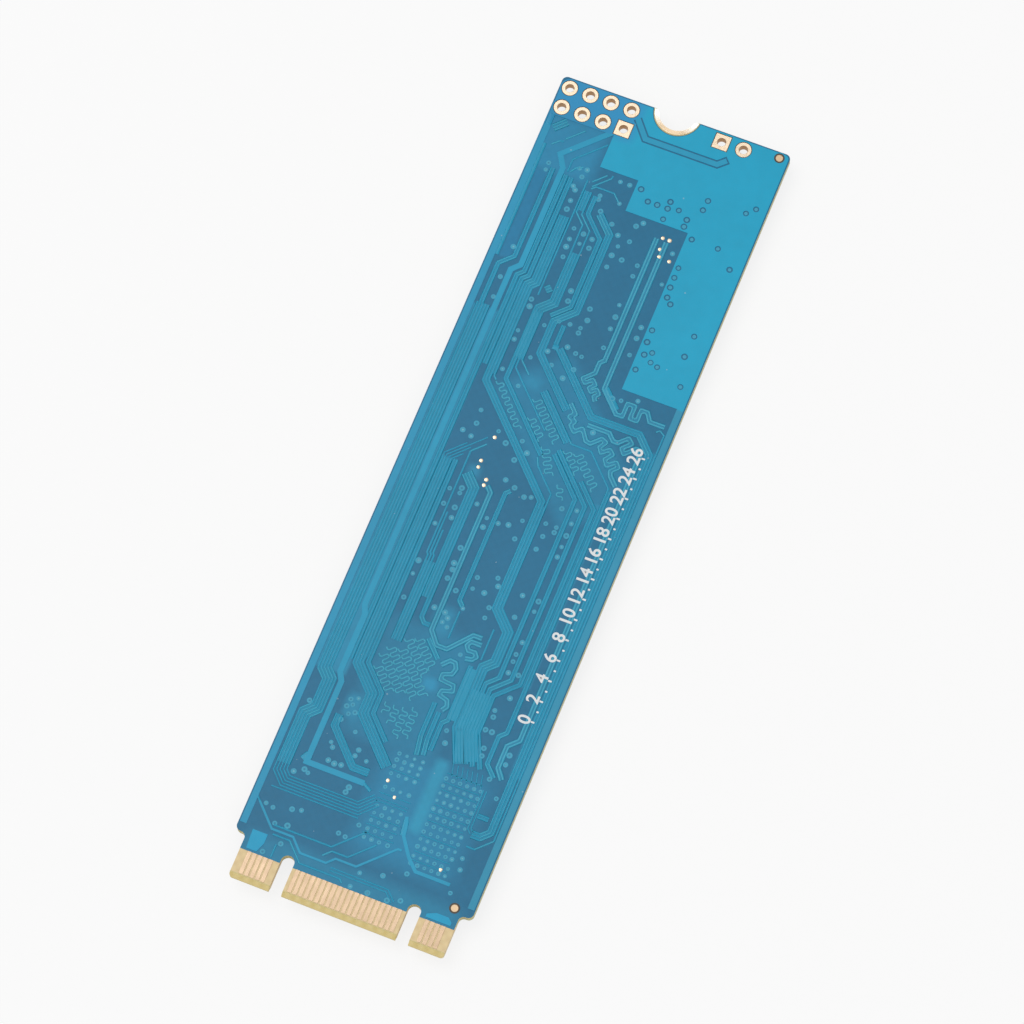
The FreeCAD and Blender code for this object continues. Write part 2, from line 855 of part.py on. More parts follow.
def small_capacitor_places():
    """Small capacitors close to the three large chips."""
    gap = small_part_gap + small_capacitor_size[1] / 2
    near_x = near_flash_x + flash_width / 2 + gap
    far_x = far_flash_x - flash_width / 2 - gap
    controller_side = controller_x - controller_size / 2 - gap
    controller_end = controller_y + controller_size / 2 + gap
    places = row_places(near_x, near_flash_y, 4, small_part_spacing, True)
    places += row_places(far_x, far_flash_y, 4, small_part_spacing, True)
    places += row_places(controller_side, controller_y, 4, small_part_spacing, True)
    return places + row_places(controller_x, controller_end, 4, small_part_spacing, False)


def resistor_places():
    """Resistors between the chips and beside the contact edge."""
    first_y = controller_y + controller_size / 2 + 2 * small_part_gap + 3 * resistor_size[1]
    second_y = near_flash_y + flash_length / 2 + small_part_gap + resistor_size[1] / 2
    edge_y = controller_y - controller_size / 2 - small_part_gap - resistor_size[1] / 2
    places = row_places(controller_x, first_y, 3, small_part_spacing, False)
    places += row_places(near_flash_x, second_y, 3, small_part_spacing, False)
    return places + row_places(controller_x, edge_y, 3, small_part_spacing, False)


def chip_part(place, size):
    """Body and two end caps of a chip part, which share one box."""
    x, y, runs_along = place
    length, width, height = size
    cap = length * end_cap_share
    low = chip_face_z - height
    shift = (length - cap) / 2
    if runs_along:
        body = box(x, y, width, length - 2 * cap, low, chip_face_z)
        caps = [box(x, y + side * shift, width, cap, low, chip_face_z) for side in (-1, 1)]
    else:
        body = box(x, y, length - 2 * cap, width, low, chip_face_z)
        caps = [box(x + side * shift, y, cap, width, low, chip_face_z) for side in (-1, 1)]
    return body, caps


def save_chip_parts(name, places, size):
    """Writes the bodies of one kind of chip part as a node, and their end caps as another."""
    bodies = []
    all_caps = []
    for place in places:
        body, caps = chip_part(place, size)
        bodies.append(body)
        all_caps += caps
    save(name + "_bodies", bodies)
    save(name + "_end_caps", all_caps)


def main():
    os.makedirs("parts", exist_ok=True)
    save("board_laminate", [board_laminate()])
    save("bare_side_mask", [bare_side_mask()])
    save("chip_side_mask", [chip_side_mask()])
    bare_contact_top = laminate_top_z + contact_thickness
    chip_contact_low = laminate_bottom_z - contact_thickness
    save("bare_side_contacts", contact_row(2, laminate_top_z, bare_contact_top))
    save("chip_side_contacts", contact_row(1, chip_contact_low, laminate_bottom_z))
    save("header_hole_plating", [plated_hole(place) for place in header_places()])
    save("jumper_hole_plating", [plated_hole(place) for place in jumper_places()])
    save("mounting_notch_lands", notch_lands())
    save("sighting_dots", sighting_dots())
    save("coated_ground_copper", ground_copper())
    save("coated_power_tracks", power_tracks())
    save("coated_bus_tracks", bus_tracks())
    save("coated_matched_tracks", matched_tracks())
    save("controller_chip", [ball_chip(controller_x, controller_y, controller_size, controller_size)])
    save("near_flash_chip", [ball_chip(near_flash_x, near_flash_y, flash_width, flash_length)])
    save("far_flash_chip", [ball_chip(far_flash_x, far_flash_y, flash_width, flash_length)])
    save("support_solder_balls", support_balls())
    save("regulator_body", [regulator_body()])
    save("regulator_pads", regulator_pads())
    save("power_inductors", [inductor_body(y) for y in inductor_places()])
    save("inductor_terminals", inductor_terminals())
    save("supply_switch_body", [switch_body()])
    save("supply_switch_leads", switch_leads())
    save("crystal_base", [crystal_base()])
    save("crystal_lid", [crystal_lid()])
    save_chip_parts("large_capacitor", large_capacitor_places(), large_capacitor_size)
    save_chip_parts("small_capacitor", small_capacitor_places(), small_capacitor_size)
    save_chip_parts("resistor", resistor_places(), resistor_size)


main()
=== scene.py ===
import math

import bmesh
import bpy
from mathutils import Matrix, Vector


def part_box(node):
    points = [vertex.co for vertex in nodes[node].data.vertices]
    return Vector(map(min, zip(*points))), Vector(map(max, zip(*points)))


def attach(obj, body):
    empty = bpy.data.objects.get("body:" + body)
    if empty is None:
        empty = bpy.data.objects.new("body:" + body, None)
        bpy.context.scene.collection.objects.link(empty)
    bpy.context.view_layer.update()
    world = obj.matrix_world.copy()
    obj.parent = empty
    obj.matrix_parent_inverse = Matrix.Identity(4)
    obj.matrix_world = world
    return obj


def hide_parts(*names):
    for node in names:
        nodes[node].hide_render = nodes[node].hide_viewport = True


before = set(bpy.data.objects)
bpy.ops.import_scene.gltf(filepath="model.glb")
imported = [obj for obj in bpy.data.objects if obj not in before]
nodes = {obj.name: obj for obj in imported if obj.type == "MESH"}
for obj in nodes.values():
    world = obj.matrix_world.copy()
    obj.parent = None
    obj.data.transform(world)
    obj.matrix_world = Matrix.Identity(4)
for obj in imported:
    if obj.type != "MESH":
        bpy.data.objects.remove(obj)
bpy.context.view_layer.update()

# Dressed model of a gumstick solid state drive, lying with its bare side up.
# Places on the board are in millimetres from its middle, X to the right and Y towards the notch.

mm = 0.001
bare_face_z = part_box("bare_side_mask")[1][2] / mm
chip_face_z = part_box("chip_side_mask")[0][2] / mm
board_top_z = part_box("board_laminate")[1][2] / mm
board_bottom_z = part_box("board_laminate")[0][2] / mm

# Coating colours, as the photograph shows them
mask_over_laminate = (0.007, 0.160, 0.305)
mask_over_copper = (0.003, 0.385, 0.610)
mask_over_tracks = (0.016, 0.318, 0.508)
mask_over_feeds = (0.012, 0.336, 0.548)
# Coating over copper, lighter still where tracks swing, loop or slant: a painted highlight along their raised
# edges
mask_with_painted_highlight = (0.055, 0.400, 0.565)
mask_between_pairs = (0.012, 0.245, 0.420)
mask_over_beds = (0.014, 0.272, 0.448)
mask_over_rims = (0.050, 0.360, 0.530)
mask_in_vias = (0.030, 0.220, 0.380)
# Lighter spots on the via plugs, a painted highlight
plug_painted_highlight = (0.160, 0.450, 0.580)

# Places where the coating has another shade: colour, two corners, softness of the edge, turn in degrees
laminate_tones = [
    ((0.013, 0.245, 0.445), (-12.0, 30.6), (-5.0, 36.4), 1.4, 0),
    ((0.011, 0.230, 0.420), (-1.4, -34.0), (8.0, -24.2), 2.0, 0),
    ((0.010, 0.214, 0.385), (-6.0, -24.4), (2.4, -13.0), 1.4, 0),
    ((0.010, 0.214, 0.385), (3.0, -4.0), (10.5, 11.0), 1.0, 45),
    ((0.013, 0.262, 0.450), (-2.3, -13.4), (-0.6, -10.8), 0.9, 0),
    ((0.006, 0.199, 0.389), (-9.9, 21.6), (-8.9, 30.6), 0.3, 0),
    ((0.016, 0.300, 0.520), (-1.0, -18.4), (0.2, -17.3), 0.6, 0),
    ((0.013, 0.262, 0.450), (-3.2, 10.8), (-1.8, 11.9), 0.7, 0),
    ((0.013, 0.262, 0.450), (-4.7, 1.2), (-3.7, 2.3), 0.7, 0),
    ((0.013, 0.262, 0.450), (-6.5, -23.2), (-5.2, -21.0), 0.7, 0),
    ((0.016, 0.305, 0.495), (2.85, -30.7), (3.95, -23.8), 0.6, 0),
    ((0.013, 0.222, 0.388), (-10.0, -38.0), (10.0, -35.6), 1.2, 0),
]
copper_tones = [
    ((0.016, 0.325, 0.530), (-12.0, -42.0), (12.0, 12.0), 4.0, 0),
    ((0.019, 0.300, 0.585), (-12.0, 36.0), (-3.0, 42.0), 1.0, 0),
    ((0.016, 0.318, 0.535), (-12.0, -42.0), (-9.9, 36.2), 0.4, 0),
    ((0.026, 0.300, 0.475), (10.2, -42.0), (12.0, 13.6), 0.2, 0),
    ((0.016, 0.280, 0.520), (-12.0, 35.4), (-5.0, 36.8), 1.0, 0),
    ((0.008, 0.365, 0.610), (-9.9, -38.0), (-7.9, -35.1), 0.2, 0),
    ((0.008, 0.365, 0.610), (7.0, -38.0), (9.8, -36.3), 0.2, 0),
]

# Places where tracks run so close that the coating bridges the gaps between them
close_track_colour = (0.013, 0.268, 0.458)
close_track_softness = 0.3
close_track_places = [
    ((-10.3, -19.8), (-7.5, 16.6)),
    ((-7.6, -17.6), (-5.95, 2.2)),
    ((-7.6, 11.6), (-6.0, 20.0)),
    ((9.2, -23.0), (10.35, 9.0)),
    ((6.8, -15.2), (7.85, 2.8)),
]
for low, high in close_track_places:
    laminate_tones.append((close_track_colour, low, high, close_track_softness, 0))

# Copper under the coating
track_width = 0.18
swing_width = 0.14
loop_width = 0.15
thin_width = 0.13
fine_width = 0.10
track_height = 0.022
strip_crest_share = 0.82
patch_height = 0.026
bed_height = 0.005
bed_step = 0.0003
bed_gap = 0.02
loop_bed_width = 0.6
# Lighter strips on short slanting stretches of tracks, a painted highlight
glint_width = 0.09
glint_height = 0.0235
longest_glint = 2.2
track_bend_radius = 0.08
bundle_pitch = 0.27
matched_step = 0.36
matched_bend_radius = 0.15
loop_bend_radius = 0.2
merge_distance = 0.000001

# Plated holes and bare dots
hole_radius = 0.41
sleeve_thickness = 0.004
barrel_radius = 0.45
land_radius = 0.725
land_rise = 0.04
land_round = 0.015
land_gap_radius = 0.785
collar_radius = 0.9
collar_rise = 0.0295
guard_channel = [(5.53, 37.785), (6.07, 37.215)]
guard_channel_width = 0.14
gap_rise = 0.004
gap_sink = 0.004
hole_segments = 40
header_columns = (-10.05, -8.05, -6.05, -4.05)
header_rows = (39.0, 37.0)
jumper_columns = (4.65, 6.75)
header_places = [(x, y) for y in header_rows for x in header_columns]
jumper_places = [(x, header_rows[0]) for x in jumper_columns]
round_land_places = header_places[:-1] + jumper_places[1:]
square_land_places = [header_places[-1], jumper_places[0]]
sighting_places = [(10.05, 39.4), (9.25, -35.6)]
sighting_radius = 0.33
sighting_gap_radius = 0.48
sighting_collar_radius = 0.56
test_dot_radius = 0.18
test_dot_size_change = 0.12
test_dot_steps = [(1.0, 0.0), (0.9, 0.016), (0.5, 0.026)]  # share of the radius, and height
test_dot_places = [
    (3.15, 28.4), (3.8, 28.4), (3.3, 27.3), (3.5, 26.6), (4.5, 26.5), (-3.7, 5.35), (-4.0, 2.9),
    (-4.0, 2.25), (-2.9, 1.4), (-2.9, 0.85), (-0.4, -27.2), (0.7, -28.4), (6.85, -32.9),
]

# Vias
via_ring_radius = 0.25
via_hole_radius = 0.09
fine_via_radius = 0.2
fine_via_hole_radius = 0.07
pour_via_radius = 0.29
pour_via_hole_radius = 0.18
via_sides = 12
via_size_change = 0.18
ring_crest_share = 0.93
dish_rim_share = 1.25
dish_floor_share = 0.4
plug_top_share = 0.9
plug_height_share = 0.55
well_reach = 0.5
well_size_change = 0.08
island_hole_radius = 0.06
island_size_change = 0.1
chip_side_via_size_change = 0.12
pour_via_places = [
    (-0.4, 32.1), (0.6, 31.2), (1.5, 31.2), (2.5, 31.9), (2.5, 31.2), (3.5, 31.4), (2.5, 30.1),
    (4.5, 30.8), (4.5, 30.1), (5.6, 33.2), (5.5, 32.2), (9.2, 33.3), (9.9, 34.0), (5.6, 29.2),
    (8.1, 29.2), (9.8, 27.7), (5.5, 26.2), (5.5, 25.2), (5.5, 24.2), (5.6, 23.2), (6.1, 22.7),
    (9.2, 20.6), (5.5, 19.8), (5.5, 18.6), (9.1, 18.5), (6.3, 17.8), (5.7, 17.4), (6.5, 16.9),
    (7.2, 16.7), (5.5, 15.8), (9.8, 15.7),
]
far_via_places = [
    (-2.4, 32.1), (-1.5, 32.1), (-5.6, 32.1), (-6.3, 32.0), (-5.8, 31.3), (-6.2, 30.2), (-5.9, 29.9),
    (-5.9, 28.8), (-5.9, 27.9), (-3.6, 30.2), (-3.6, 29.8), (-1.7, 30.1), (-3.0, 28.8), (-9.1, 31.5),
    (-9.1, 30.8), (-1.6, 28.0), (-0.7, 27.2), (-0.3, 26.2), (-0.5, 25.2), (-0.5, 24.0), (0.5, 25.1),
    (0.5, 27.0), (0.5, 28.6), (1.0, 29.1), (2.0, 25.1), (2.0, 24.0), (1.9, 21.0), (2.0, 19.8),
    (2.0, 18.6), (2.1, 16.7), (-4.6, 26.4), (-4.6, 25.3), (-4.6, 24.5), (-4.5, 23.5), (-2.7, 26.0),
    (-2.65, 25.1), (-3.6, 26.2), (-3.6, 25.2), (-2.6, 20.7), (-2.5, 19.7), (-0.4, 19.7), (-0.2, 18.6),
    (-0.5, 17.7), (-0.5, 17.2), (4.5, 19.7), (4.5, 18.6), (4.5, 16.9), (4.7, 24.2), (4.5, 27.3),
    (-9.0, 22.8), (-9.0, 19.7), (-8.85, 17.7), (-5.6, 18.7), (-5.5, 18.0), (-5.6, 15.5), (-5.6, 14.6),
]
middle_via_places = [
    (-3.6, 16.8), (-2.5, 17.6), (-1.5, 17.7), (-0.9, 15.6), (0.0, 15.3), (0.6, 15.2), (-2.4, 14.6),
    (-1.6, 13.5), (-0.2, 12.7), (0.4, 13.8), (-3.6, 13.5), (-5.5, 11.6), (-3.6, 10.6), (4.6, 12.5),
    (5.4, 12.6), (6.8, 13.1), (4.2, 8.9), (-5.8, 7.3), (-5.7, 6.0), (-6.6, 5.0), (-5.7, 4.7), (-3.6, 6.0),
    (-2.6, 5.2), (-1.3, 4.0), (-0.5, 5.0), (-1.3, 5.9), (-1.3, 2.0), (-0.3, 1.6), (0.8, 1.1), (1.4, 1.3),
    (4.3, 1.3), (1.5, -1.0), (0.5, -1.8), (-0.4, -2.0), (1.5, -2.8), (3.5, -0.5), (4.5, -0.5),
    (4.5, -1.0), (3.7, -1.7), (3.6, -3.0), (5.6, 1.6), (5.6, 0.3), (5.6, -0.9), (5.6, -2.0), (5.6, -3.0),
    (-4.6, -0.1), (-4.6, -0.6), (-4.5, -2.0), (-4.4, -3.0), (-5.6, -0.5), (-5.56, -2.0), (-5.56, -4.0),
    (-2.8, -1.0), (-1.5, -1.9), (-1.5, -2.8), (-2.6, -5.3), (-2.6, -6.8), (-2.5, -7.4), (-2.6, -8.3),
    (-5.6, -7.7), (-5.6, -9.0), (-5.5, -11.3), (-1.5, -9.1), (-0.2, -7.3), (-0.2, -8.4), (-0.3, -10.4),
    (1.5, -6.7), (1.8, -7.4), (4.1, -7.4), (0.9, -8.4), (1.8, -9.5), (1.8, -10.5), (5.6, -7.4),
    (5.6, -8.4), (4.2, -9.5), (5.7, -11.4), (5.6, -12.6), (5.6, -13.3), (5.6, -14.4), (6.5, -14.3),
    (-2.65, -11.2), (-1.6, -11.3), (-1.2, -11.7), (-1.5, -12.2), (-0.95, -12.5),
]
near_via_places = [
    (6.6, -16.5), (5.8, -18.0), (5.9, -18.6), (5.7, -19.9), (6.3, -19.9), (1.1, -14.4), (-9.5, -23.0),
    (-6.3, -22.3), (-5.6, -21.3), (-5.4, -22.6), (-6.3, -23.6), (-4.7, -24.2), (-6.3, -25.8),
    (-6.0, -26.2), (-5.9, -27.4), (-5.3, -27.5), (-4.7, -27.4), (-3.8, -25.6), (-3.9, -26.2),
    (-2.8, -26.3), (-8.3, -29.4), (-7.5, -28.9), (-7.1, -29.1), (-3.3, -29.0), (-3.4, -29.5),
    (-9.4, -32.9), (-8.7, -33.05), (-7.1, -32.6), (-6.3, -32.4), (-2.55, -33.1), (-1.9, -33.2),
    (-1.2, -31.8), (-0.4, -31.8), (-8.0, -34.3), (-6.9, -34.1), (-6.8, -35.8), (-8.0, -37.0),
    (8.2, -31.3), (8.4, -32.3), (8.4, -34.5), (4.3, -34.3), (2.45, -35.2), (0.5, -35.7), (4.7, -36.7),
    (3.6, -37.1), (1.8, -37.1), (0.2, -37.1), (8.9, -25.3), (6.2, -21.5), (6.3, -22.2), (8.5, -21.3),
    (8.5, -22.2), (2.9, -22.3), (2.6, -21.2), (7.7, -23.9), (-6.2, -21.6), (-5.85, -22.0), (-5.9, -22.9),
]
controller_via_columns = (4.2, 4.85, 5.5, 6.15, 6.8, 7.4)
controller_via_rows = (-25.2, -25.9, -26.6, -27.3, -28.1, -28.8, -29.6, -30.3, -31.0, -31.7, -32.6, -33.3)
core_via_columns = (-0.4, 0.3, 1.0, 1.8)
core_via_rows = (-24.6, -25.2, -25.8, -26.5, -27.8, -29.6, -30.3, -31.0, -31.8, -32.6)
via_places = far_via_places + middle_via_places + near_via_places
fine_via_places = [(x, y) for x in controller_via_columns for y in controller_via_rows]
fine_via_places += [(x, y) for x in core_via_columns for y in core_via_rows]

# Tracks of the bare side, as the number of tracks and their middle route
signal_bundles = [
    # Left edge, round a row of vias
    (5, [(-9.45, 16.8), (-9.45, -19.75), (-8.65, -20.55), (-8.65, -23.35), (-9.45, -24.15), (-9.45, -29.0)]),
    (2, [(-8.55, 31.2), (-8.55, 22.0), (-9.67, 20.88), (-9.67, 16.8)]),
    # Beside the supply feed
    (2, [(-7.2, 31.0), (-7.2, 20.95), (-7.7, 20.45), (-7.7, -18.2)]),
    (2, [(-6.66, 30.9), (-6.66, 20.73), (-7.16, 20.23), (-7.16, 11.5)]),
    (1, [(-5.2, 31.2), (-5.2, 19.3)]),
    (4, [(-6.9, 2.0), (-6.9, -18.28), (-4.72, -20.46), (-4.72, -22.41), (-0.99, -26.14)]),
    (2, [(-6.09, 2.2), (-6.09, -17.95), (-3.91, -20.13), (-3.91, -22.08), (-1.9, -24.09)]),
    # From the far flash chip to the controller
    (4, [(-5.85, 27.2), (-5.85, 20.39), (-6.35, 19.89), (-6.35, 10.9)]),
    (3, [(-6.485, 10.9), (-6.485, 10.135), (2.365, 1.285), (2.365, 0.9)]),
    (1, [(-5.945, 10.9), (-5.945, 10.75), (-5.65, 10.45)]),
    (4, [(2.5, 0.9), (2.5, -9.3), (4.2, -11.0), (4.2, -13.95), (3.4, -14.75), (3.4, -20.6), (4.7, -23.6)]),
    (3, [(-4.72, 30.2), (-4.72, 28.2)]),
    (1, [(-4.99, 28.2), (-4.99, 27.95), (-4.005, 26.965), (-4.005, 24.2)]),
    (1, [(-4.45, 28.2), (-4.45, 27.9), (-3.195, 26.645), (-3.195, 24.2)]),
    (4, [(-3.6, 24.2), (-3.6, 19.1), (-4.6, 18.1), (-4.6, 13.0)]),
    (2, [(-4.87, 13.0), (-4.87, 10.87), (0.75, 5.25)]),
    (1, [(-4.465, 13.0), (-4.465, 12.165), (0.2, 7.5)]),
    (1, [(-4.195, 13.0), (-3.1, 11.905)]),
    (1, [(0.5, 5.0), (0.85, 4.25), (2.905, 2.195), (2.905, 0.9)]),
    (3, [(-4.35, 20.35), (-4.75, 19.95)]),
    (3, [(-2.95, 28.5), (-1.4, 26.95), (-1.4, 19.0), (-2.95, 17.45), (-2.95, 14.2), (1.25, 10.0)]),
    (2, [(-3.95, 30.0), (-3.95, 28.15), (-2.05, 26.25), (-2.05, 19.25), (-3.45, 17.85)]),
    (2, [(-1.95, 17.4), (-1.95, 15.45)]),
    (3, [(-1.5, 15.2), (3.5, 10.2), (8.1, 10.2), (9.6, 8.7), (9.6, -28.3), (8.9, -29.0), (8.1, -29.0)]),
    (3, [(-1.3, 10.95), (2.45, 7.2)]),
    (1, [(2.641, 7.391), (2.832, 7.2), (4.715, 7.2), (7.415, 4.5), (7.415, 4.3)]),
    (2, [(7.55, 4.3), (7.55, -19.5), (7.0, -20.05), (7.0, -22.7), (8.0, -23.7)]),
    (2, [(1.75, 5.8), (5.05, 2.5), (5.05, -15.1), (4.15, -16.0), (4.15, -20.6), (5.3, -23.4)]),
    (2, [(2.0, 6.3), (6.1, 2.2), (6.1, -14.95), (4.7, -16.35), (4.7, -20.6), (5.9, -23.4)]),
    (2, [(4.9, 4.25), (6.95, 2.2), (6.95, -15.05), (5.2, -16.8), (5.2, -20.4), (6.6, -23.4)]),
    # Over the two flash chips
    (1, [(-4.75, 35.05), (-7.2, 32.6), (-7.2, 31.3)]),
    (4, [(-4.75, 1.4), (-3.625, 0.275), (-3.625, -10.6)]),
    (2, [(-3.355, -10.6), (-3.355, -12.4), (-2.95, -12.85), (-2.4, -12.85)]),
    (2, [(-0.5, 1.2), (-0.85, 0.85), (-0.85, -9.8), (-0.4, -10.25)]),
    (1, [(-0.45, -10.75), (-0.45, -13.4)]),
    (4, [(-4.63, -7.4), (-4.63, -15.2)]),
    (1, [(-4.1, 4.5), (-5.2, 3.4), (-5.2, -6.7), (-5.035, -6.9), (-5.035, -7.4)]),
    (1, [(-4.93, -2.6), (-4.93, -6.6), (-4.765, -6.8), (-4.765, -7.4)]),
    (1, [(-4.66, -4.3), (-4.66, -6.6), (-4.495, -6.8), (-4.495, -7.4)]),
    (2, [(-2.05, -14.0), (-0.55, -15.5)]),
    (1, [(2.95, -11.2), (2.95, -14.2)]),
    (2, [(2.35, -15.0), (2.35, -20.3), (1.95, -20.7), (1.95, -23.4)]),
    (2, [(0.7, -19.2), (0.7, -22.4), (1.0, -24.2)]),
    (2, [(1.35, -19.9), (1.35, -22.6), (1.55, -24.0)]),
    # Right edge
    (1, [(9.35, 10.95), (9.65, 11.2), (10.14, 10.9), (10.14, -28.9), (8.87, -30.17), (8.1, -30.17)]),
    # Short tracks of the far left corner
    (3, [(-10.0, 34.85), (-9.0, 35.85)]),
    (1, [(-8.55, 34.2), (-7.15, 35.6)]),
    (1, [(-9.55, 33.3), (-9.0, 33.85), (-8.6, 33.95)]),
    (1, [(-6.0, 32.2), (-6.6, 31.95), (-6.95, 31.4)]),
    (1, [(-4.75, 31.2), (-3.7, 32.25)]),
    (1, [(-4.6, 30.75), (-3.25, 32.1), (-3.2, 32.4)]),
    (1, [(-4.6, 30.5), (-4.25, 30.85), (-2.5, 30.85), (-1.85, 30.2)]),
    # Between the controller and the contacts
    (3, [(-6.6, -23.2), (-6.6, -24.3), (-3.7, -27.2), (-2.2, -27.2)]),
    (1, [(-8.0, -34.45), (-2.65, -34.45), (-0.2, -32.0)]),
    (1, [(-3.1, -35.45), (-2.45, -34.8), (-1.0, -34.8), (0.9, -32.9)]),
    (1, [(-7.8, -35.25), (-6.2, -35.25), (-4.65, -36.8), (-0.9, -36.8), (-0.6, -37.1)]),
    (1, [(-7.15, -36.0), (-7.15, -37.2)]),
    (2, [(8.0, -27.3), (9.0, -27.3)]),
]

# Thinner tracks with bare coating between them
thin_bundles = [
    (1, [(-5.75, 4.02), (-7.305, 2.468), (-7.305, 2.0)]),
    (1, [(-4.25, 5.14), (-7.035, 2.356), (-7.035, 2.0)]),
    (1, [(-5.3, 3.71), (-6.765, 2.244), (-6.765, 2.0)]),
    (1, [(-5.7, 2.93), (-6.495, 2.132), (-6.495, 2.0)]),
    (5, [(-9.45, -29.0), (-9.45, -29.65), (-8.65, -30.45), (-1.85, -30.45), (-0.6, -29.2)]),
    (1, [(-9.6, -31.27), (-1.5, -31.27)]),
    (2, [(-2.0, -36.3), (3.3, -36.3), (4.1, -37.1)]),
    (2, [(7.75, -25.0), (7.75, -28.6), (8.1, -28.95)]),
]

# Thin tracks between the vias of the controller
fine_rows = (-24.7, -25.55, -26.25, -27.7, -28.45, -29.2, -30.65, -32.15, -32.95)
core_rows = (-26.15, -28.4, -28.9, -29.2, -30.65, -31.4, -32.2)
entry_columns = (4.3, 4.75, 5.2, 5.65, 6.1, 6.55, 7.0)
fine_routes = [[(4.1, y), (7.4, y)] for y in fine_rows]
fine_routes += [[(-0.7, y), (2.2, y)] for y in core_rows]
fine_routes += [[(x, -23.75), (x + 0.3, -24.95)] for x in entry_columns]

# Wider patches of copper, each with its width: ends of the supply feed and tap, and lands under vias
copper_patches = [
    (0.8, [(-7.6, -27.5), (-7.95, -28.15)]),
    (0.3, [(-2.25, -28.2), (-1.45, -28.65)]),
    (0.2, [(-10.45, -32.45), (-9.95, -32.95)]),
    (0.55, [(-2.15, 15.2), (-1.6, 15.2)]),
    (0.5, [(2.45, -29.9), (2.65, -31.3)]),
    (0.34, [(-10.13, 33.2), (-10.13, 21.6)]),
]
edge_bridge = (0.6, [(-10.58, 34.9), (-10.58, 36.2)])

# Places, each with its width, where the coating lies thick enough to hide single tracks
solid_fills = [
    (1.05, [(-4.6, 17.8), (-4.6, 13.2)]),
    (2.3, [(4.25, -16.9), (4.25, -20.6)]),
    (2.2, [(4.25, -20.6), (5.2, -23.2)]),
    (1.0, [(2.6, -15.2), (2.6, -20.2)]),
    (0.7, [(3.7, 13.2), (5.3, 11.6)]),
]

# Reach to each side, start and end of each swinging track
matched_runs = [
    (0.27, (-5.4, 10.5), (-1.9, 6.65)),
    (0.30, (-1.5, 8.35), (0.4, 6.45)),
    (0.36, (0.75, 6.2), (2.15, 3.65)),
    (0.36, (-1.7, 10.15), (1.75, 6.7)),
    (0.30, (2.6, 6.55), (4.6, 4.55)),
    (0.36, (3.6, 6.7), (6.6, 3.7)),
    (0.27, (3.35, 3.3), (3.8, 1.9)),
    (0.36, (-5.3, -17.8), (-3.2, -19.9)),
    (0.36, (-5.3, -16.6), (-2.0, -19.9)),
    (0.36, (-4.9, -15.8), (-0.9, -19.8)),
    (0.36, (-3.9, -15.6), (-0.1, -19.4)),
    (0.36, (-3.75, -14.55), (-0.7, -17.6)),
    (0.36, (-2.9, -14.2), (-0.6, -16.5)),
    (0.30, (-3.0, -20.7), (-3.0, -22.1)),
    (0.30, (-2.2, -20.7), (-2.2, -22.8)),
    (0.30, (-1.4, -20.6), (-1.4, -23.5)),
    (0.30, (-0.6, -20.3), (-0.6, -23.2)),
]

# Paired tracks with long loops
loop_pairs = [
    [(3.6, 28.1), (3.6, 13.1), (5.45, 11.25), (6.05, 11.25), (6.05, 12.55), (6.75, 12.55), (6.75, 11.3),
     (7.4, 11.3), (7.4, 12.4), (8.0, 12.4), (8.5, 11.65), (9.9, 11.65)],
    [(2.65, 28.2), (2.65, 15.6), (2.3, 15.25), (2.3, 14.2), (1.45, 13.35), (1.8, 13.0), (2.35, 13.55),
     (2.75, 13.15), (2.3, 12.7), (2.6, 12.4), (3.0, 12.8), (3.35, 12.45), (3.0, 12.1), (3.3, 11.7)],
    [(3.5, 9.4), (5.55, 9.4), (6.15, 8.8), (6.6, 8.8), (7.35, 9.55), (7.8, 9.15), (7.1, 8.45),
     (7.45, 8.0), (8.3, 8.85), (8.7, 8.85), (8.85, 8.4), (8.85, -19.75), (8.0, -20.6), (8.0, -22.7),
     (8.7, -23.6)],
    [(1.35, 10.75), (2.15, 9.95), (1.65, 9.55), (2.35, 9.3), (2.1, 8.85), (2.6, 8.35), (3.2, 8.95),
     (3.9, 7.95), (4.35, 7.85), (5.15, 8.65), (5.65, 8.45), (5.25, 7.85), (5.55, 7.4), (6.2, 7.95),
     (6.6, 7.6), (6.1, 6.95), (6.45, 6.45), (7.15, 7.05), (7.5, 6.65), (6.95, 6.1), (7.15, 5.65),
     (7.9, 4.9)],
    [(-2.6, 0.9), (-2.1, 0.4), (-2.1, -13.2), (-1.15, -14.35), (-0.2, -14.35), (1.5, -12.35),
     (2.3, -12.35)],
    [(2.5, -12.95), (1.55, -12.95), (1.3, -13.4), (1.6, -13.8), (2.2, -13.75), (2.5, -14.1),
     (2.2, -14.45), (1.6, -14.55)],
    [(-0.1, -15.85), (0.5, -15.2), (1.0, -15.25), (1.25, -15.75), (1.1, -16.3), (0.35, -16.6),
     (0.35, -17.1), (1.6, -17.2), (1.75, -17.75), (0.85, -18.0), (0.75, -18.45), (1.6, -18.65),
     (1.8, -19.2), (1.5, -19.65)],
]

# Printed length scale
scale_x = 9.4
scale_start_y = -17.8
scale_length = 26
scale_figure_step = 2
scale_figure_height = 1.6
scale_figure_weight = 0.03
scale_figure_gap = 0.08
scale_long_line = 0.32
scale_short_line = 0.2
scale_line_width = 0.16
print_thickness = 0.028

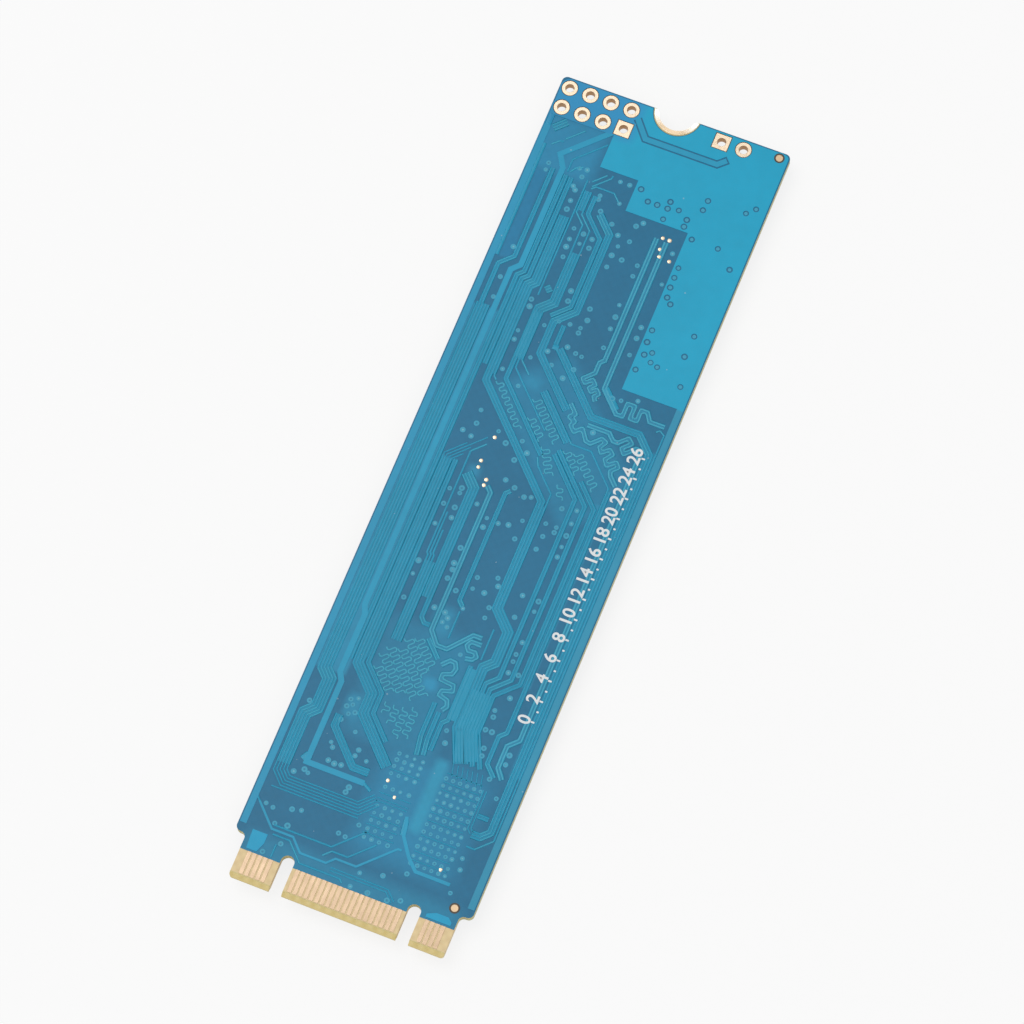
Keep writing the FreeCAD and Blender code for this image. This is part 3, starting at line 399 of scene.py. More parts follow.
# Chip side
ball_radius = 0.24
ball_height = 0.2
ball_pitch = 1.0
ball_rows = 2
ball_sides = 10
ball_steps = [(0.6, 0.0), (0.92, 0.25), (1.0, 0.5), (0.92, 0.75), (0.6, 1.0)]  # shares of radius and height
ball_packages = ("controller_chip", "near_flash_chip", "far_flash_chip")
outlined_packages = ball_packages + ("crystal_base", "regulator_body")
fillet_height = 0.22
fillet_spread = 0.16
fillet_lap = 0.012
soldered_nodes = (
    "large_capacitor_end_caps",
    "small_capacitor_end_caps",
    "resistor_end_caps",
    "inductor_terminals",
)
outline_gap = 0.3
outline_leg = 1.2
outline_width = 0.14
chip_side_bundles = [
    (6, [(0.5, -23.0), (0.5, -20.0), (-1.5, -18.0), (-1.5, -13.4)]),
    (5, [(4.5, -23.0), (4.5, -13.4)]),
    (6, [(-4.0, 5.4), (-4.0, 8.0), (-2.0, 10.0), (-2.0, 13.6)]),
    (4, [(2.5, 5.4), (2.5, 13.6)]),
    (5, [(8.2, 4.0), (8.2, -21.0), (7.0, -22.2), (7.0, -23.0)]),
    (4, [(-8.4, 14.0), (-8.4, -12.0)]),
    (4, [(-1.0, -37.0), (-1.0, -36.4), (0.6, -34.8)]),
    (4, [(4.0, -37.0), (4.0, -34.8)]),
]
chip_side_via_places = [
    (-3.4, -16.2), (-3.4, -17.4), (-3.2, -19.8), (2.2, -15.0), (2.2, -16.2), (2.4, -20.8), (6.2, -15.4),
    (6.2, -18.6), (-5.8, 6.2), (-5.8, 8.8), (-0.2, 7.2), (0.4, 11.8), (4.6, 7.0), (4.6, 11.2), (9.6, 2.6),
    (9.6, -4.4), (9.6, -9.8), (-9.6, 10.2), (-9.6, 2.4), (-9.6, -6.0), (-7.0, 7.6), (-3.0, -36.0),
    (2.2, -36.2), (6.4, -36.2),
]

# Camera, fitted to the photograph
camera_place = Vector((68.592, -131.100, 413.704)) * mm
camera_right = Vector((0.92625, 0.37531, -0.03457))
camera_up = Vector((-0.34306, 0.87751, 0.33509))
camera_lens = 175.35
camera_sensor = 36.0
camera_clip = 0.01

# Surroundings; each lamp has its name, place and size in metres, and power in watts
surroundings_strength = 0.55
floor_half = 1.5
floor_glow = 0.82
soft_lamps = [
    ("key_lamp", (-0.30, 0.10, 0.65), 0.5, 1.6),
    ("fill_lamp", (0.35, -0.40, 0.55), 0.5, 0.6),
]


# Node helpers

def add_node(tree, kind, inputs=None, **settings):
    """Adds a node, sets its properties, and sets or links its inputs by name or number."""
    node = tree.nodes.new(kind)
    for name, value in settings.items():
        setattr(node, name, value)
    fill_inputs(tree, node, inputs or {})
    return node


def fill_inputs(tree, node, inputs):
    """Links each input that is given a socket, and sets each other one."""
    for key, value in inputs.items():
        if isinstance(value, bpy.types.NodeSocket):
            tree.links.new(value, node.inputs[key])
        elif isinstance(value, tuple) and node.inputs[key].type == "RGBA":
            node.inputs[key].default_value = (*value, 1.0)
        else:
            node.inputs[key].default_value = value


def mix_colour(tree, factor, first, second, blend="MIX"):
    """Colour between two others, which may be colours or sockets."""
    inputs = {0: factor, 6: first, 7: second}
    return add_node(tree, "ShaderNodeMix", inputs, data_type="RGBA", blend_type=blend).outputs[2]


def remap(tree, value, low, high, new_low, new_high):
    """Value stretched from one range to another, and held inside it."""
    inputs = {"Value": value, "From Min": low, "From Max": high, "To Min": new_low, "To Max": new_high}
    return add_node(tree, "ShaderNodeMapRange", inputs).outputs["Result"]


def calculate(tree, operation, first, second=0.0):
    """Sum, product or other calculation with two values."""
    return add_node(tree, "ShaderNodeMath", {0: first, 1: second}, operation=operation).outputs[0]


def noise(tree, vector, scale, detail=2.0, roughness=0.5):
    """Noise value at a number of cells for each metre."""
    inputs = {"Vector": vector, "Scale": scale, "Detail": detail, "Roughness": roughness}
    return add_node(tree, "ShaderNodeTexNoise", inputs).outputs["Fac"]


def split_axes(tree, vector):
    """X, Y and Z of a vector."""
    return add_node(tree, "ShaderNodeSeparateXYZ", {"Vector": vector}).outputs


def new_group(name, inputs, outputs):
    """Shader group with named sockets. Each input has a name, a kind and a starting value."""
    group = bpy.data.node_groups.new(name, "ShaderNodeTree")
    for socket_name, kind, start in inputs:
        socket = group.interface.new_socket(socket_name, in_out="INPUT", socket_type=kind)
        if start is not None:
            socket.default_value = start
    for socket_name, kind in outputs:
        group.interface.new_socket(socket_name, in_out="OUTPUT", socket_type=kind)
    return group, group.nodes.new("NodeGroupInput").outputs, group.nodes.new("NodeGroupOutput")


# Effects that several materials share

def make_coat_effect():
    """Flow marks of a printed coating: broad patches of shade, and fine grain for its gloss and relief."""
    inputs = [("Place", "NodeSocketVector", None), ("Patch Scale", "NodeSocketFloat", 120.0),
              ("Grain Scale", "NodeSocketFloat", 9000.0)]
    outputs = [("Patches", "NodeSocketFloat"), ("Grain", "NodeSocketFloat")]
    group, start, end = new_group("coat_flow", inputs, outputs)
    broad = noise(group, start["Place"], start["Patch Scale"], 3.0, 0.6)
    small_scale = calculate(group, "MULTIPLY", start["Patch Scale"], 9.0)
    small = noise(group, start["Place"], small_scale, 2.0, 0.5)
    both = calculate(group, "ADD", broad, calculate(group, "MULTIPLY", small, 0.5))
    group.links.new(remap(group, both, 0.45, 1.05, 0.0, 1.0), end.inputs["Patches"])
    group.links.new(noise(group, start["Place"], start["Grain Scale"], 2.0, 0.6), end.inputs["Grain"])
    return group


def make_dust_effect():
    """Sparse specks of lint and dust: a few cells of a random grid carry a speck each."""
    inputs = [("Place", "NodeSocketVector", None), ("Cells", "NodeSocketFloat", 2600.0),
              ("Share", "NodeSocketFloat", 0.015)]
    group, start, end = new_group("dust_specks", inputs, [("Mask", "NodeSocketFloat")])
    cells = add_node(group, "ShaderNodeTexVoronoi", {"Vector": start["Place"], "Scale": start["Cells"]})
    chance = add_node(group, "ShaderNodeSeparateColor", {"Color": cells.outputs["Color"]}).outputs
    holds_speck = calculate(group, "LESS_THAN", chance["Red"], start["Share"])
    radius = remap(group, chance["Green"], 0.0, 1.0, 0.06, 0.22)
    inside = calculate(group, "LESS_THAN", cells.outputs["Distance"], radius)
    group.links.new(calculate(group, "MULTIPLY", holds_speck, inside), end.inputs["Mask"])
    return group


def make_weave_effect():
    """Plain weave of the glass cloth in the laminate, as a height between 0 and 1."""
    inputs = [("Place", "NodeSocketVector", None), ("Threads", "NodeSocketFloat", 2100.0)]
    group, start, end = new_group("glass_weave", inputs, [("Weave", "NodeSocketFloat")])
    axes = split_axes(group, start["Place"])
    turns = calculate(group, "MULTIPLY", start["Threads"], math.pi)
    warp = calculate(group, "SINE", calculate(group, "MULTIPLY", axes["X"], turns))
    weft = calculate(group, "SINE", calculate(group, "MULTIPLY", axes["Y"], turns))
    crossing = calculate(group, "MULTIPLY", warp, weft)
    group.links.new(remap(group, crossing, -1.0, 1.0, 0.0, 1.0), end.inputs["Weave"])
    return group


def make_metal_effect():
    """Plated or cast metal: uneven gloss, and fine relief that may be drawn out along the board."""
    inputs = [("Place", "NodeSocketVector", None), ("Scale", "NodeSocketFloat", 6000.0),
              ("Drawn Out", "NodeSocketFloat", 1.0)]
    outputs = [("Tone", "NodeSocketFloat"), ("Relief", "NodeSocketFloat")]
    group, start, end = new_group("metal_grain", inputs, outputs)
    axes = split_axes(group, start["Place"])
    short_y = calculate(group, "DIVIDE", axes["Y"], start["Drawn Out"])
    stretched_axes = {"X": axes["X"], "Y": short_y, "Z": axes["Z"]}
    stretched = add_node(group, "ShaderNodeCombineXYZ", stretched_axes).outputs[0]
    tone_scale = calculate(group, "MULTIPLY", start["Scale"], 0.15)
    group.links.new(noise(group, start["Place"], tone_scale, 3.0, 0.6), end.inputs["Tone"])
    group.links.new(noise(group, stretched, start["Scale"], 3.0, 0.65), end.inputs["Relief"])
    return group


coat_flow = make_coat_effect()
dust_specks = make_dust_effect()
glass_weave = make_weave_effect()
metal_grain = make_metal_effect()


# Materials

def new_material(name):
    """Empty material with its shader and the place on the piece."""
    material = bpy.data.materials.new(name)
    material.use_nodes = True
    tree = material.node_tree
    place = tree.nodes.new("ShaderNodeTexCoord").outputs["Object"]
    return material, tree, tree.nodes["Principled BSDF"], place


def use_effect(tree, effect, inputs):
    """Outputs of a shared effect inside a material."""
    return add_node(tree, "ShaderNodeGroup", inputs, node_tree=effect).outputs


def shaded(colour, share):
    """Colour times a share, which makes it darker or lighter."""
    return tuple(channel * share for channel in colour)


def relief(tree, height, distance, strength=0.5):
    """Surface normal from a height."""
    inputs = {"Height": height, "Distance": distance, "Strength": strength}
    return add_node(tree, "ShaderNodeBump", inputs).outputs["Normal"]


def soft_field(tree, place, low, high, softness, turn=0):
    """Mask of a rectangle of the board, which fades at its edges and may be turned."""
    inputs = {"Vector": place, "Angle": -math.radians(turn)}
    turned = add_node(tree, "ShaderNodeVectorRotate", inputs, rotation_type="Z_AXIS").outputs["Vector"]
    axes = split_axes(tree, turned)
    half = softness / 2
    mask = 1.0
    for axis, start, stop in (("X", low[0], high[0]), ("Y", low[1], high[1])):
        rise = remap(tree, axes[axis], (start - half) * mm, (start + half) * mm, 0.0, 1.0)
        fall = remap(tree, axes[axis], (stop - half) * mm, (stop + half) * mm, 1.0, 0.0)
        mask = calculate(tree, "MULTIPLY", calculate(tree, "MULTIPLY", rise, fall), mask)
    return mask


def coated_material(name, colour, patch_strength=0.08, weave_strength=0.0, tones=(), plug_highlight=None):
    """Glossy blue coating with flow marks, a trace of what is under it, a little dust, and on via plugs spots
    of painted highlight.
    """
    material, tree, shader, place = new_material(name)
    flow = use_effect(tree, coat_flow, {"Place": place})
    weave = use_effect(tree, glass_weave, {"Place": place})["Weave"]
    dust = use_effect(tree, dust_specks, {"Place": place})["Mask"]
    base = colour
    for tone, low, high, softness, turn in tones:
        base = mix_colour(tree, soft_field(tree, place, low, high, softness, turn), base, tone)
    if plug_highlight:
        # Lighter spots mixed in, a painted highlight
        highlight_spots = remap(tree, noise(tree, place, 700.0, 0.0), 0.42, 0.6, 0.0, 1.0)
        base = mix_colour(tree, highlight_spots, base, plug_highlight)
    patches = remap(tree, flow["Patches"], 0.0, 1.0, 1.0 - patch_strength, 1.0 + patch_strength)
    base = mix_colour(tree, 1.0, base, patches, "MULTIPLY")
    threads = remap(tree, weave, 0.0, 1.0, 1.0 - weave_strength, 1.0 + weave_strength)
    base = mix_colour(tree, 1.0, base, threads, "MULTIPLY")
    base = mix_colour(tree, calculate(tree, "MULTIPLY", dust, 0.4), base, (0.40, 0.55, 0.64))
    fill_inputs(tree, shader, {
        "Base Color": base,
        "Roughness": remap(tree, flow["Grain"], 0.3, 0.7, 0.30, 0.42),
        "IOR": 1.4,
        "Normal": relief(tree, flow["Grain"], 0.000004),
    })
    return material


def bare_gold_material(name, colour, roughness, scuff, drawn_out=1.0, highlight_from=100.0):
    """Gold plating with uneven gloss, painted nearly white beyond a place along the board as a highlight.

    Drawn out grain gives the wiped look of contacts.
    """
    material, tree, shader, place = new_material(name)
    grain = use_effect(tree, metal_grain, {"Place": place, "Drawn Out": drawn_out})
    dull = shaded(colour, 1.0 - scuff)
    base = mix_colour(tree, remap(tree, grain["Tone"], 0.35, 0.65, 0.0, 1.0), dull, colour)
    base = mix_colour(tree, remap(tree, grain["Relief"], 0.55, 0.8, 0.0, scuff), base, (0.75, 0.66, 0.55))
    along = split_axes(tree, place)["Y"]
    # Beyond that place the gold is painted nearly white, a highlight
    painted_highlight_mask = remap(tree, along, (highlight_from - 0.5) * mm, (highlight_from + 0.5) * mm, 0.0, 1.0)
    base = mix_colour(tree, painted_highlight_mask, base, (0.98, 0.96, 0.93))
    fill_inputs(tree, shader, {
        "Base Color": base,
        "Metallic": 1.0,
        "Roughness": remap(tree, grain["Tone"], 0.3, 0.7, roughness - 0.08, roughness + 0.08),
        "Normal": relief(tree, grain["Relief"], 0.000006, 0.6),
    })
    return material


def laminate_material():
    """Bare glass-epoxy: straw yellow, with the cloth showing through and sawn layers on its edges."""
    material, tree, shader, place = new_material("bare_laminate")
    weave = use_effect(tree, glass_weave, {"Place": place})["Weave"]
    level = add_node(tree, "ShaderNodeCombineXYZ", {"Z": split_axes(tree, place)["Z"]}).outputs[0]
    layers = noise(tree, level, 14000.0, 1.0)
    fibres = noise(tree, place, 5000.0, 3.0, 0.7)
    base = mix_colour(tree, weave, (0.58, 0.52, 0.22), (0.68, 0.62, 0.29))
    base = mix_colour(tree, remap(tree, layers, 0.45, 0.65, 0.0, 0.35), base, (0.40, 0.33, 0.12))
    tongue = soft_field(tree, place, (-12.0, -39.55), (12.0, -37.0), 0.1)
    tongue_tone = mix_colour(tree, weave, (0.78, 0.59, 0.32), (0.87, 0.675, 0.37))
    base = mix_colour(tree, tongue, base, tongue_tone)
    bevel = soft_field(tree, place, (-12.0, -42.0), (12.0, -39.6), 0.1)
    bevel_tone = mix_colour(tree, weave, (0.727, 0.571, 0.223), (0.818, 0.652, 0.289))
    base = mix_colour(tree, bevel, base, bevel_tone)
    base = mix_colour(tree, remap(tree, fibres, 0.5, 0.8, 0.0, 0.4), base, (0.80, 0.76, 0.50))
    fill_inputs(tree, shader, {
        "Base Color": base,
        "Roughness": remap(tree, fibres, 0.3, 0.7, 0.5, 0.68),
        "IOR": 1.5,
        "Normal": relief(tree, fibres, 0.00001, 0.5),
    })
    return material


def moulded_material(name, body, substrate, substrate_from):
    """Black moulding compound with pale filler grains, over the sawn edge of a thin carrier board."""
    material, tree, shader, place = new_material(name)
    grain = noise(tree, place, 14000.0, 3.0, 0.7)
    filler = use_effect(tree, dust_specks, {"Place": place, "Cells": 9000.0, "Share": 0.12})["Mask"]
    smudge = noise(tree, place, 160.0, 2.0)
    base = mix_colour(tree, remap(tree, grain, 0.3, 0.7, 0.0, 1.0), body, shaded(body, 1.7))
    base = mix_colour(tree, calculate(tree, "MULTIPLY", filler, 0.25), base, (0.16, 0.16, 0.16))
    base = mix_colour(tree, remap(tree, smudge, 0.45, 0.7, 0.0, 0.25), base, shaded(body, 2.4))
    height = split_axes(tree, place)["Z"]
    in_substrate = calculate(tree, "GREATER_THAN", height, substrate_from)
    base = mix_colour(tree, in_substrate, base, substrate)
    fill_inputs(tree, shader, {
        "Base Color": base,
        "Roughness": remap(tree, smudge, 0.3, 0.7, 0.52, 0.68),
        "IOR": 1.5,
        "Normal": relief(tree, grain, 0.000008, 0.6),
    })
    return material


def metal_material(name, colour, roughness, scale, drawn_out=1.0):
    """Grey metal such as solder, tin or rolled nickel."""
    material, tree, shader, place = new_material(name)
    grain = use_effect(tree, metal_grain, {"Place": place, "Scale": scale, "Drawn Out": drawn_out})
    dark = shaded(colour, 0.72)
    base = mix_colour(tree, remap(tree, grain["Tone"], 0.3, 0.7, 0.0, 1.0), dark, colour)
    fill_inputs(tree, shader, {
        "Base Color": base,
        "Metallic": 1.0,
        "Roughness": remap(tree, grain["Relief"], 0.3, 0.7, roughness - 0.1, roughness + 0.12),
        "Normal": relief(tree, grain["Relief"], 0.000008, 0.5),
    })
    return material


def fired_material(name, dark, light, roughness, scale):
    """Fired ceramic, pressed powder or glaze: two mixed tones and a dusting of grains."""
    material, tree, shader, place = new_material(name)
    tone = noise(tree, place, scale, 3.0, 0.6)
    grains = noise(tree, place, scale * 9.0, 2.0, 0.6)
    base = mix_colour(tree, remap(tree, tone, 0.3, 0.7, 0.0, 1.0), dark, light)
    base = mix_colour(tree, remap(tree, grains, 0.58, 0.75, 0.0, 0.3), base, shaded(light, 1.8))
    fill_inputs(tree, shader, {
        "Base Color": base,
        "Roughness": remap(tree, grains, 0.3, 0.7, roughness - 0.08, roughness + 0.08),
        "IOR": 1.5,
        "Normal": relief(tree, grains, 0.000006, 0.5),
    })
    return material


def print_material():
    """White screen print, a little thin in places so that the blue tints it."""
    material, tree, shader, place = new_material("screen_print")
    cover = noise(tree, place, 2600.0, 3.0, 0.65)
    edge = noise(tree, place, 9000.0, 2.0, 0.5)
    base = mix_colour(tree, remap(tree, cover, 0.55, 0.8, 0.0, 0.5), (0.83, 0.86, 0.87), (0.38, 0.58, 0.70))
    fill_inputs(tree, shader, {
        "Base Color": base,
        "Roughness": remap(tree, edge, 0.3, 0.7, 0.5, 0.65),
        "IOR": 1.5,
        "Normal": relief(tree, edge, 0.000006, 0.5),
    })
    return material


mask_coat = coated_material("mask_over_laminate", mask_over_laminate, weave_strength=0.02,
                            tones=laminate_tones)
chip_mask_coat = coated_material("mask_on_chip_side", mask_over_laminate, weave_strength=0.02)
copper_coat = coated_material("mask_over_copper", mask_over_copper, patch_strength=0.06, tones=copper_tones)
track_coat = coated_material("mask_over_tracks", mask_over_tracks)
feed_coat = coated_material("mask_over_feeds", mask_over_feeds)
pair_coat = coated_material("mask_between_pairs", mask_between_pairs)
painted_highlight_coat = coated_material("mask_with_painted_highlight", mask_with_painted_highlight)
bed_coat = coated_material("mask_over_beds", mask_over_beds)
via_coat = coated_material("mask_in_vias", mask_in_vias, patch_strength=0.10, plug_highlight=plug_painted_highlight)
via_rim_coat = coated_material("mask_over_rims", mask_over_rims)
bare_gold = bare_gold_material("bare_gold", (0.87, 0.70, 0.51), roughness=0.30, scuff=0.12)
dull_gold = bare_gold_material("dull_gold", (0.72, 0.53, 0.34), roughness=0.45, scuff=0.12)
# Darker gold for the walls of the holes, a painted shade
barrel_in_painted_shade = bare_gold_material("barrel_in_painted_shade", (0.50, 0.27, 0.11), roughness=0.45, scuff=0.2)
# Notch lands, painted nearly white towards the far end of the board as a highlight
gold_with_painted_highlight = bare_gold_material("gold_with_painted_highlight", (0.78, 0.60, 0.40), roughness=0.30, scuff=0.15,
                                 highlight_from=39.1)
contact_gold = bare_gold_material("contact_gold", (0.545, 0.398, 0.268), roughness=0.34, scuff=0.14,
                                  drawn_out=14.0)
bare_laminate = laminate_material()
# Near-black laminate for the rings round lands and dots, a painted shade at the coating's edge
laminate_in_painted_shade = fired_material("shaded_laminate", (0.060, 0.050, 0.040), (0.095, 0.080, 0.060), 0.6, 1500.0)
package_mould = moulded_material("moulded_package", (0.016, 0.016, 0.018), (0.022, 0.045, 0.030), 0.82 * mm)
small_mould = moulded_material("small_package", (0.020, 0.020, 0.022), (0.020, 0.020, 0.022), 5.0 * mm)
solder = metal_material("reflowed_solder", (0.66, 0.67, 0.68), 0.28, 3000.0)
matt_tin = metal_material("matt_tin", (0.70, 0.70, 0.69), 0.42, 5000.0)
rolled_nickel = metal_material("rolled_nickel", (0.66, 0.63, 0.58), 0.30, 5000.0, 18.0)
pressed_ferrite = fired_material("pressed_ferrite", (0.045, 0.045, 0.05), (0.085, 0.085, 0.09), 0.62, 1800.0)
fired_base = fired_material("fired_base", (0.050, 0.045, 0.042), (0.085, 0.078, 0.072), 0.5, 1500.0)
capacitor_body = fired_material("capacitor_ceramic", (0.30, 0.19, 0.105), (0.40, 0.27, 0.16), 0.46, 1200.0)
resistor_glaze = fired_material("resistor_film", (0.012, 0.012, 0.014), (0.024, 0.024, 0.026), 0.3, 1500.0)
white_print = print_material()

node_materials = {
    "board_laminate": bare_laminate,
    "bare_side_mask": mask_coat,
    "chip_side_mask": chip_mask_coat,
    "bare_side_contacts": contact_gold,
    "chip_side_contacts": contact_gold,
    "mounting_notch_lands": gold_with_painted_highlight,
    "coated_ground_copper": copper_coat,
    "coated_power_tracks": feed_coat,
    "controller_chip": package_mould,
    "near_flash_chip": package_mould,
    "far_flash_chip": package_mould,
    "regulator_body": small_mould,
    "regulator_pads": matt_tin,
    "power_inductors": pressed_ferrite,
    "inductor_terminals": matt_tin,
    "supply_switch_body": small_mould,
    "supply_switch_leads": matt_tin,
    "crystal_base": fired_base,
    "crystal_lid": rolled_nickel,
    "large_capacitor_bodies": capacitor_body,
    "large_capacitor_end_caps": matt_tin,
    "small_capacitor_bodies": capacitor_body,
    "small_capacitor_end_caps": matt_tin,
    "resistor_bodies": resistor_glaze,
    "resistor_end_caps": matt_tin,
    "header_hole_plating": bare_gold,
    "jumper_hole_plating": bare_gold,
    "sighting_dots": dull_gold,
    "coated_bus_tracks": track_coat,
    "coated_matched_tracks": painted_highlight_coat,
    "support_solder_balls": solder,
}

for name, material in node_materials.items():
    nodes[name].data.materials.clear()
    nodes[name].data.materials.append(material)


# Shapes and trees that pieces are made from

def new_geometry_tree(name, inputs):
    """Geometry tree with named inputs, each given with its kind."""
    tree = bpy.data.node_groups.new(name, "GeometryNodeTree")
    tree.interface.new_socket("Geometry", in_out="INPUT", socket_type="NodeSocketGeometry")
    for socket_name, kind in inputs:
        tree.interface.new_socket(socket_name, in_out="INPUT", socket_type=kind)
    tree.interface.new_socket("Geometry", in_out="OUTPUT", socket_type="NodeSocketGeometry")
    return tree, tree.nodes.new("NodeGroupInput").outputs, tree.nodes.new("NodeGroupOutput")


def end_geometry_tree(tree, end, geometry, material):
    """Ends a tree in real geometry with one material."""
    real = add_node(tree, "GeometryNodeRealizeInstances", {"Geometry": geometry}).outputs[0]
    finished = add_node(tree, "GeometryNodeSetMaterial", {"Geometry": real, "Material": material}).outputs[0]
    tree.links.new(finished, end.inputs["Geometry"])


def make_track_tree():
    """Raised strip with sloping sides along each line, with rounded bends."""
    inputs = [("Upper Width", "NodeSocketFloat"), ("Lower Width", "NodeSocketFloat"),
              ("Height", "NodeSocketFloat"), ("Bend Radius", "NodeSocketFloat"),
              ("Material", "NodeSocketMaterial")]
    tree, start, end = new_geometry_tree("track_strip", inputs)
    line = add_node(tree, "GeometryNodeMeshToCurve", {"Mesh": start["Geometry"]}).outputs[0]
    bends = {"Curve": line, "Count": 3, "Radius": start["Bend Radius"], "Limit Radius": True}
    line = add_node(tree, "GeometryNodeFilletCurve", bends, mode="POLY").outputs[0]
    line = add_node(tree, "GeometryNodeSetCurveNormal", {"Curve": line}, mode="Z_UP").outputs[0]
    section_sizes = {"Height": start["Height"], "Bottom Width": start["Upper Width"],
                     "Top Width": start["Lower Width"], "Offset": 0.0}
    section_kind = "GeometryNodeCurvePrimitiveQuadrilateral"
    section = add_node(tree, section_kind, section_sizes, mode="TRAPEZOID").outputs[0]
    sweep = {"Curve": line, "Profile Curve": section, "Fill Caps": True}
    strip = add_node(tree, "GeometryNodeCurveToMesh", sweep).outputs[0]
    end_geometry_tree(tree, end, strip, start["Material"])
    return tree


def make_scatter_tree():
    """One shape set on every point, each a little larger or smaller."""
    inputs = [("Shape", "NodeSocketObject"), ("Size Change", "NodeSocketFloat"), ("Seed", "NodeSocketInt"),
              ("Material", "NodeSocketMaterial")]
    tree, start, end = new_geometry_tree("set_on_points", inputs)
    shape = add_node(tree, "GeometryNodeObjectInfo", {"Object": start["Shape"]}).outputs["Geometry"]
    smallest = calculate(tree, "SUBTRACT", 1.0, start["Size Change"])
    largest = calculate(tree, "ADD", 1.0, start["Size Change"])
    sizes = {2: smallest, 3: largest, "Seed": start["Seed"]}
    size = add_node(tree, "FunctionNodeRandomValue", sizes, data_type="FLOAT").outputs[1]
    copies = {"Points": start["Geometry"], "Instance": shape, "Scale": size}
    copies = add_node(tree, "GeometryNodeInstanceOnPoints", copies).outputs[0]
    end_geometry_tree(tree, end, copies, start["Material"])
    return tree


track_strip = make_track_tree()
set_on_points = make_scatter_tree()


def show(name, data):
    """Object for a mesh, curve, lamp or camera, in the scene."""
    thing = bpy.data.objects.new(name, data)
    bpy.context.scene.collection.objects.link(thing)
    return thing


def final_mesh(thing):
    """Plain mesh of an object with its modifiers applied. The object is removed."""
    depsgraph = bpy.context.evaluated_depsgraph_get()
    mesh = bpy.data.meshes.new_from_object(thing.evaluated_get(depsgraph), depsgraph=depsgraph)
    bpy.data.objects.remove(thing)
    return mesh


def grow(base_mesh, tree, values):
    """Mesh that a geometry tree makes from a base mesh."""
    thing = show("growing", base_mesh)
    modifier = thing.modifiers.new("tree", "NODES")
    modifier.node_group = tree
    for item in tree.interface.items_tree:
        if item.in_out == "INPUT" and item.name in values:
            modifier[item.identifier] = values[item.name]
    return final_mesh(thing)


def add_piece(name, mesh, slot, *replaced):
    """Piece of the drive, which may stand for solids of the frame."""
    mesh.name = name
    piece = show(name, mesh)
    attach(piece, "root")
    if replaced:
        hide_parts(*replaced)


def to_metres(places, height):
    """Places on the board, at one height."""
    return [(x * mm, y * mm, height * mm) for x, y in places]


def points_mesh(places, height):
    """Loose points."""
    mesh = bpy.data.meshes.new("places")
    mesh.from_pydata(to_metres(places, height), [], [])
    return mesh


def lines_mesh(routes, height):
    """Separate lines along routes."""
    points = []
    edges = []
    for route in routes:
        first = len(points)
        points += to_metres(route, height)
        edges += [(first + step, first + step + 1) for step in range(len(route) - 1)]
    mesh = bpy.data.meshes.new("routes")
    mesh.from_pydata(points, edges, [])
    return mesh


def turned_mesh(name, profile, sides, closed=False):
    """Turned shape. A profile point is radius, height and squareness; a closed profile leaves a hole."""
    points = []
    for radius, height, square in profile:
        for side in range(sides):
            angle = 2.0 * math.pi * side / sides
            along_x, along_y = math.cos(angle), math.sin(angle)
            reach = radius * (1.0 + square * (1.0 / max(abs(along_x), abs(along_y)) - 1.0))
            points.append((along_x * reach * mm, along_y * reach * mm, height * mm))
    rings = len(profile)
    faces = []
    for ring in range(rings if closed else rings - 1):
        lower = ring * sides
        upper = (ring + 1) % rings * sides
        for side in range(sides):
            beside = (side + 1) % sides
            faces.append((lower + side, lower + beside, upper + beside, upper + side))
    if not closed:
        faces.append(tuple(range(sides))[::-1])
        faces.append(tuple(range((rings - 1) * sides, rings * sides)))
    mesh = bpy.data.meshes.new(name)
    mesh.from_pydata(points, [], faces)
    return mesh


def round_profile(radius, height, steps):
    """Profile of a round shape, from steps that are shares of its radius and height."""
    return [(radius * across, height * up, 0.0) for across, up in steps]


def copies_mesh(shape_mesh, places, height, material, size_change=0.0, seed=1):
    """Copies of a shape on many places of the board."""
    shape = show("shape", shape_mesh)
    values = {"Shape": shape, "Size Change": size_change, "Seed": seed, "Material": material}
    mesh = grow(points_mesh(places, height), set_on_points, values)
    bpy.data.objects.remove(shape)
    return mesh


def joined(meshes):
    """One mesh from several, each with its own material."""
    whole = bmesh.new()
    result = bpy.data.meshes.new("joined")
    for index, mesh in enumerate(meshes):
        first = len(whole.faces)
        whole.from_mesh(mesh)
        whole.faces.ensure_lookup_table()
        for face in whole.faces[first:]:
            face.material_index = index
        result.materials.append(mesh.materials[mesh.polygons[0].material_index])
    whole.to_mesh(result)
    whole.free()
    return result


def merged(meshes, material):
    """One mesh of one material from several."""
    whole = bmesh.new()
    for mesh in meshes:
        whole.from_mesh(mesh)
    for face in whole.faces:
        face.material_index = 0
    result = bpy.data.meshes.new("merged")
    whole.to_mesh(result)
    whole.free()
    result.materials.append(material)
    return result


def node_copy(node):
    """Copy of the mesh of a node, with its faces joined along their edges."""
    copy = bmesh.new()
    copy.from_mesh(nodes[node].data)
    bmesh.ops.remove_doubles(copy, verts=copy.verts, dist=merge_distance)
    return copy


# Bare lands and dots

def plated_hole_profile(square):
    """Ring section of a plated hole: a thin barrel with a land on each face."""
    low, high = chip_face_z - land_rise / 2, bare_face_z + land_rise / 2
    under, over = board_bottom_z, board_top_z
    crest = land_radius - land_round
    return [
        (hole_radius, low + land_round, 0.0), (hole_radius + land_round, low, 0.0), (crest, low, square),
        (land_radius, low + land_round, square), (land_radius, under, square), (barrel_radius, under, 0.0),
        (barrel_radius, over, 0.0), (land_radius, over, square), (land_radius, high - land_round, square),
        (crest, high, square), (hole_radius + land_round, high, 0.0), (hole_radius, high - land_round, 0.0),
    ]


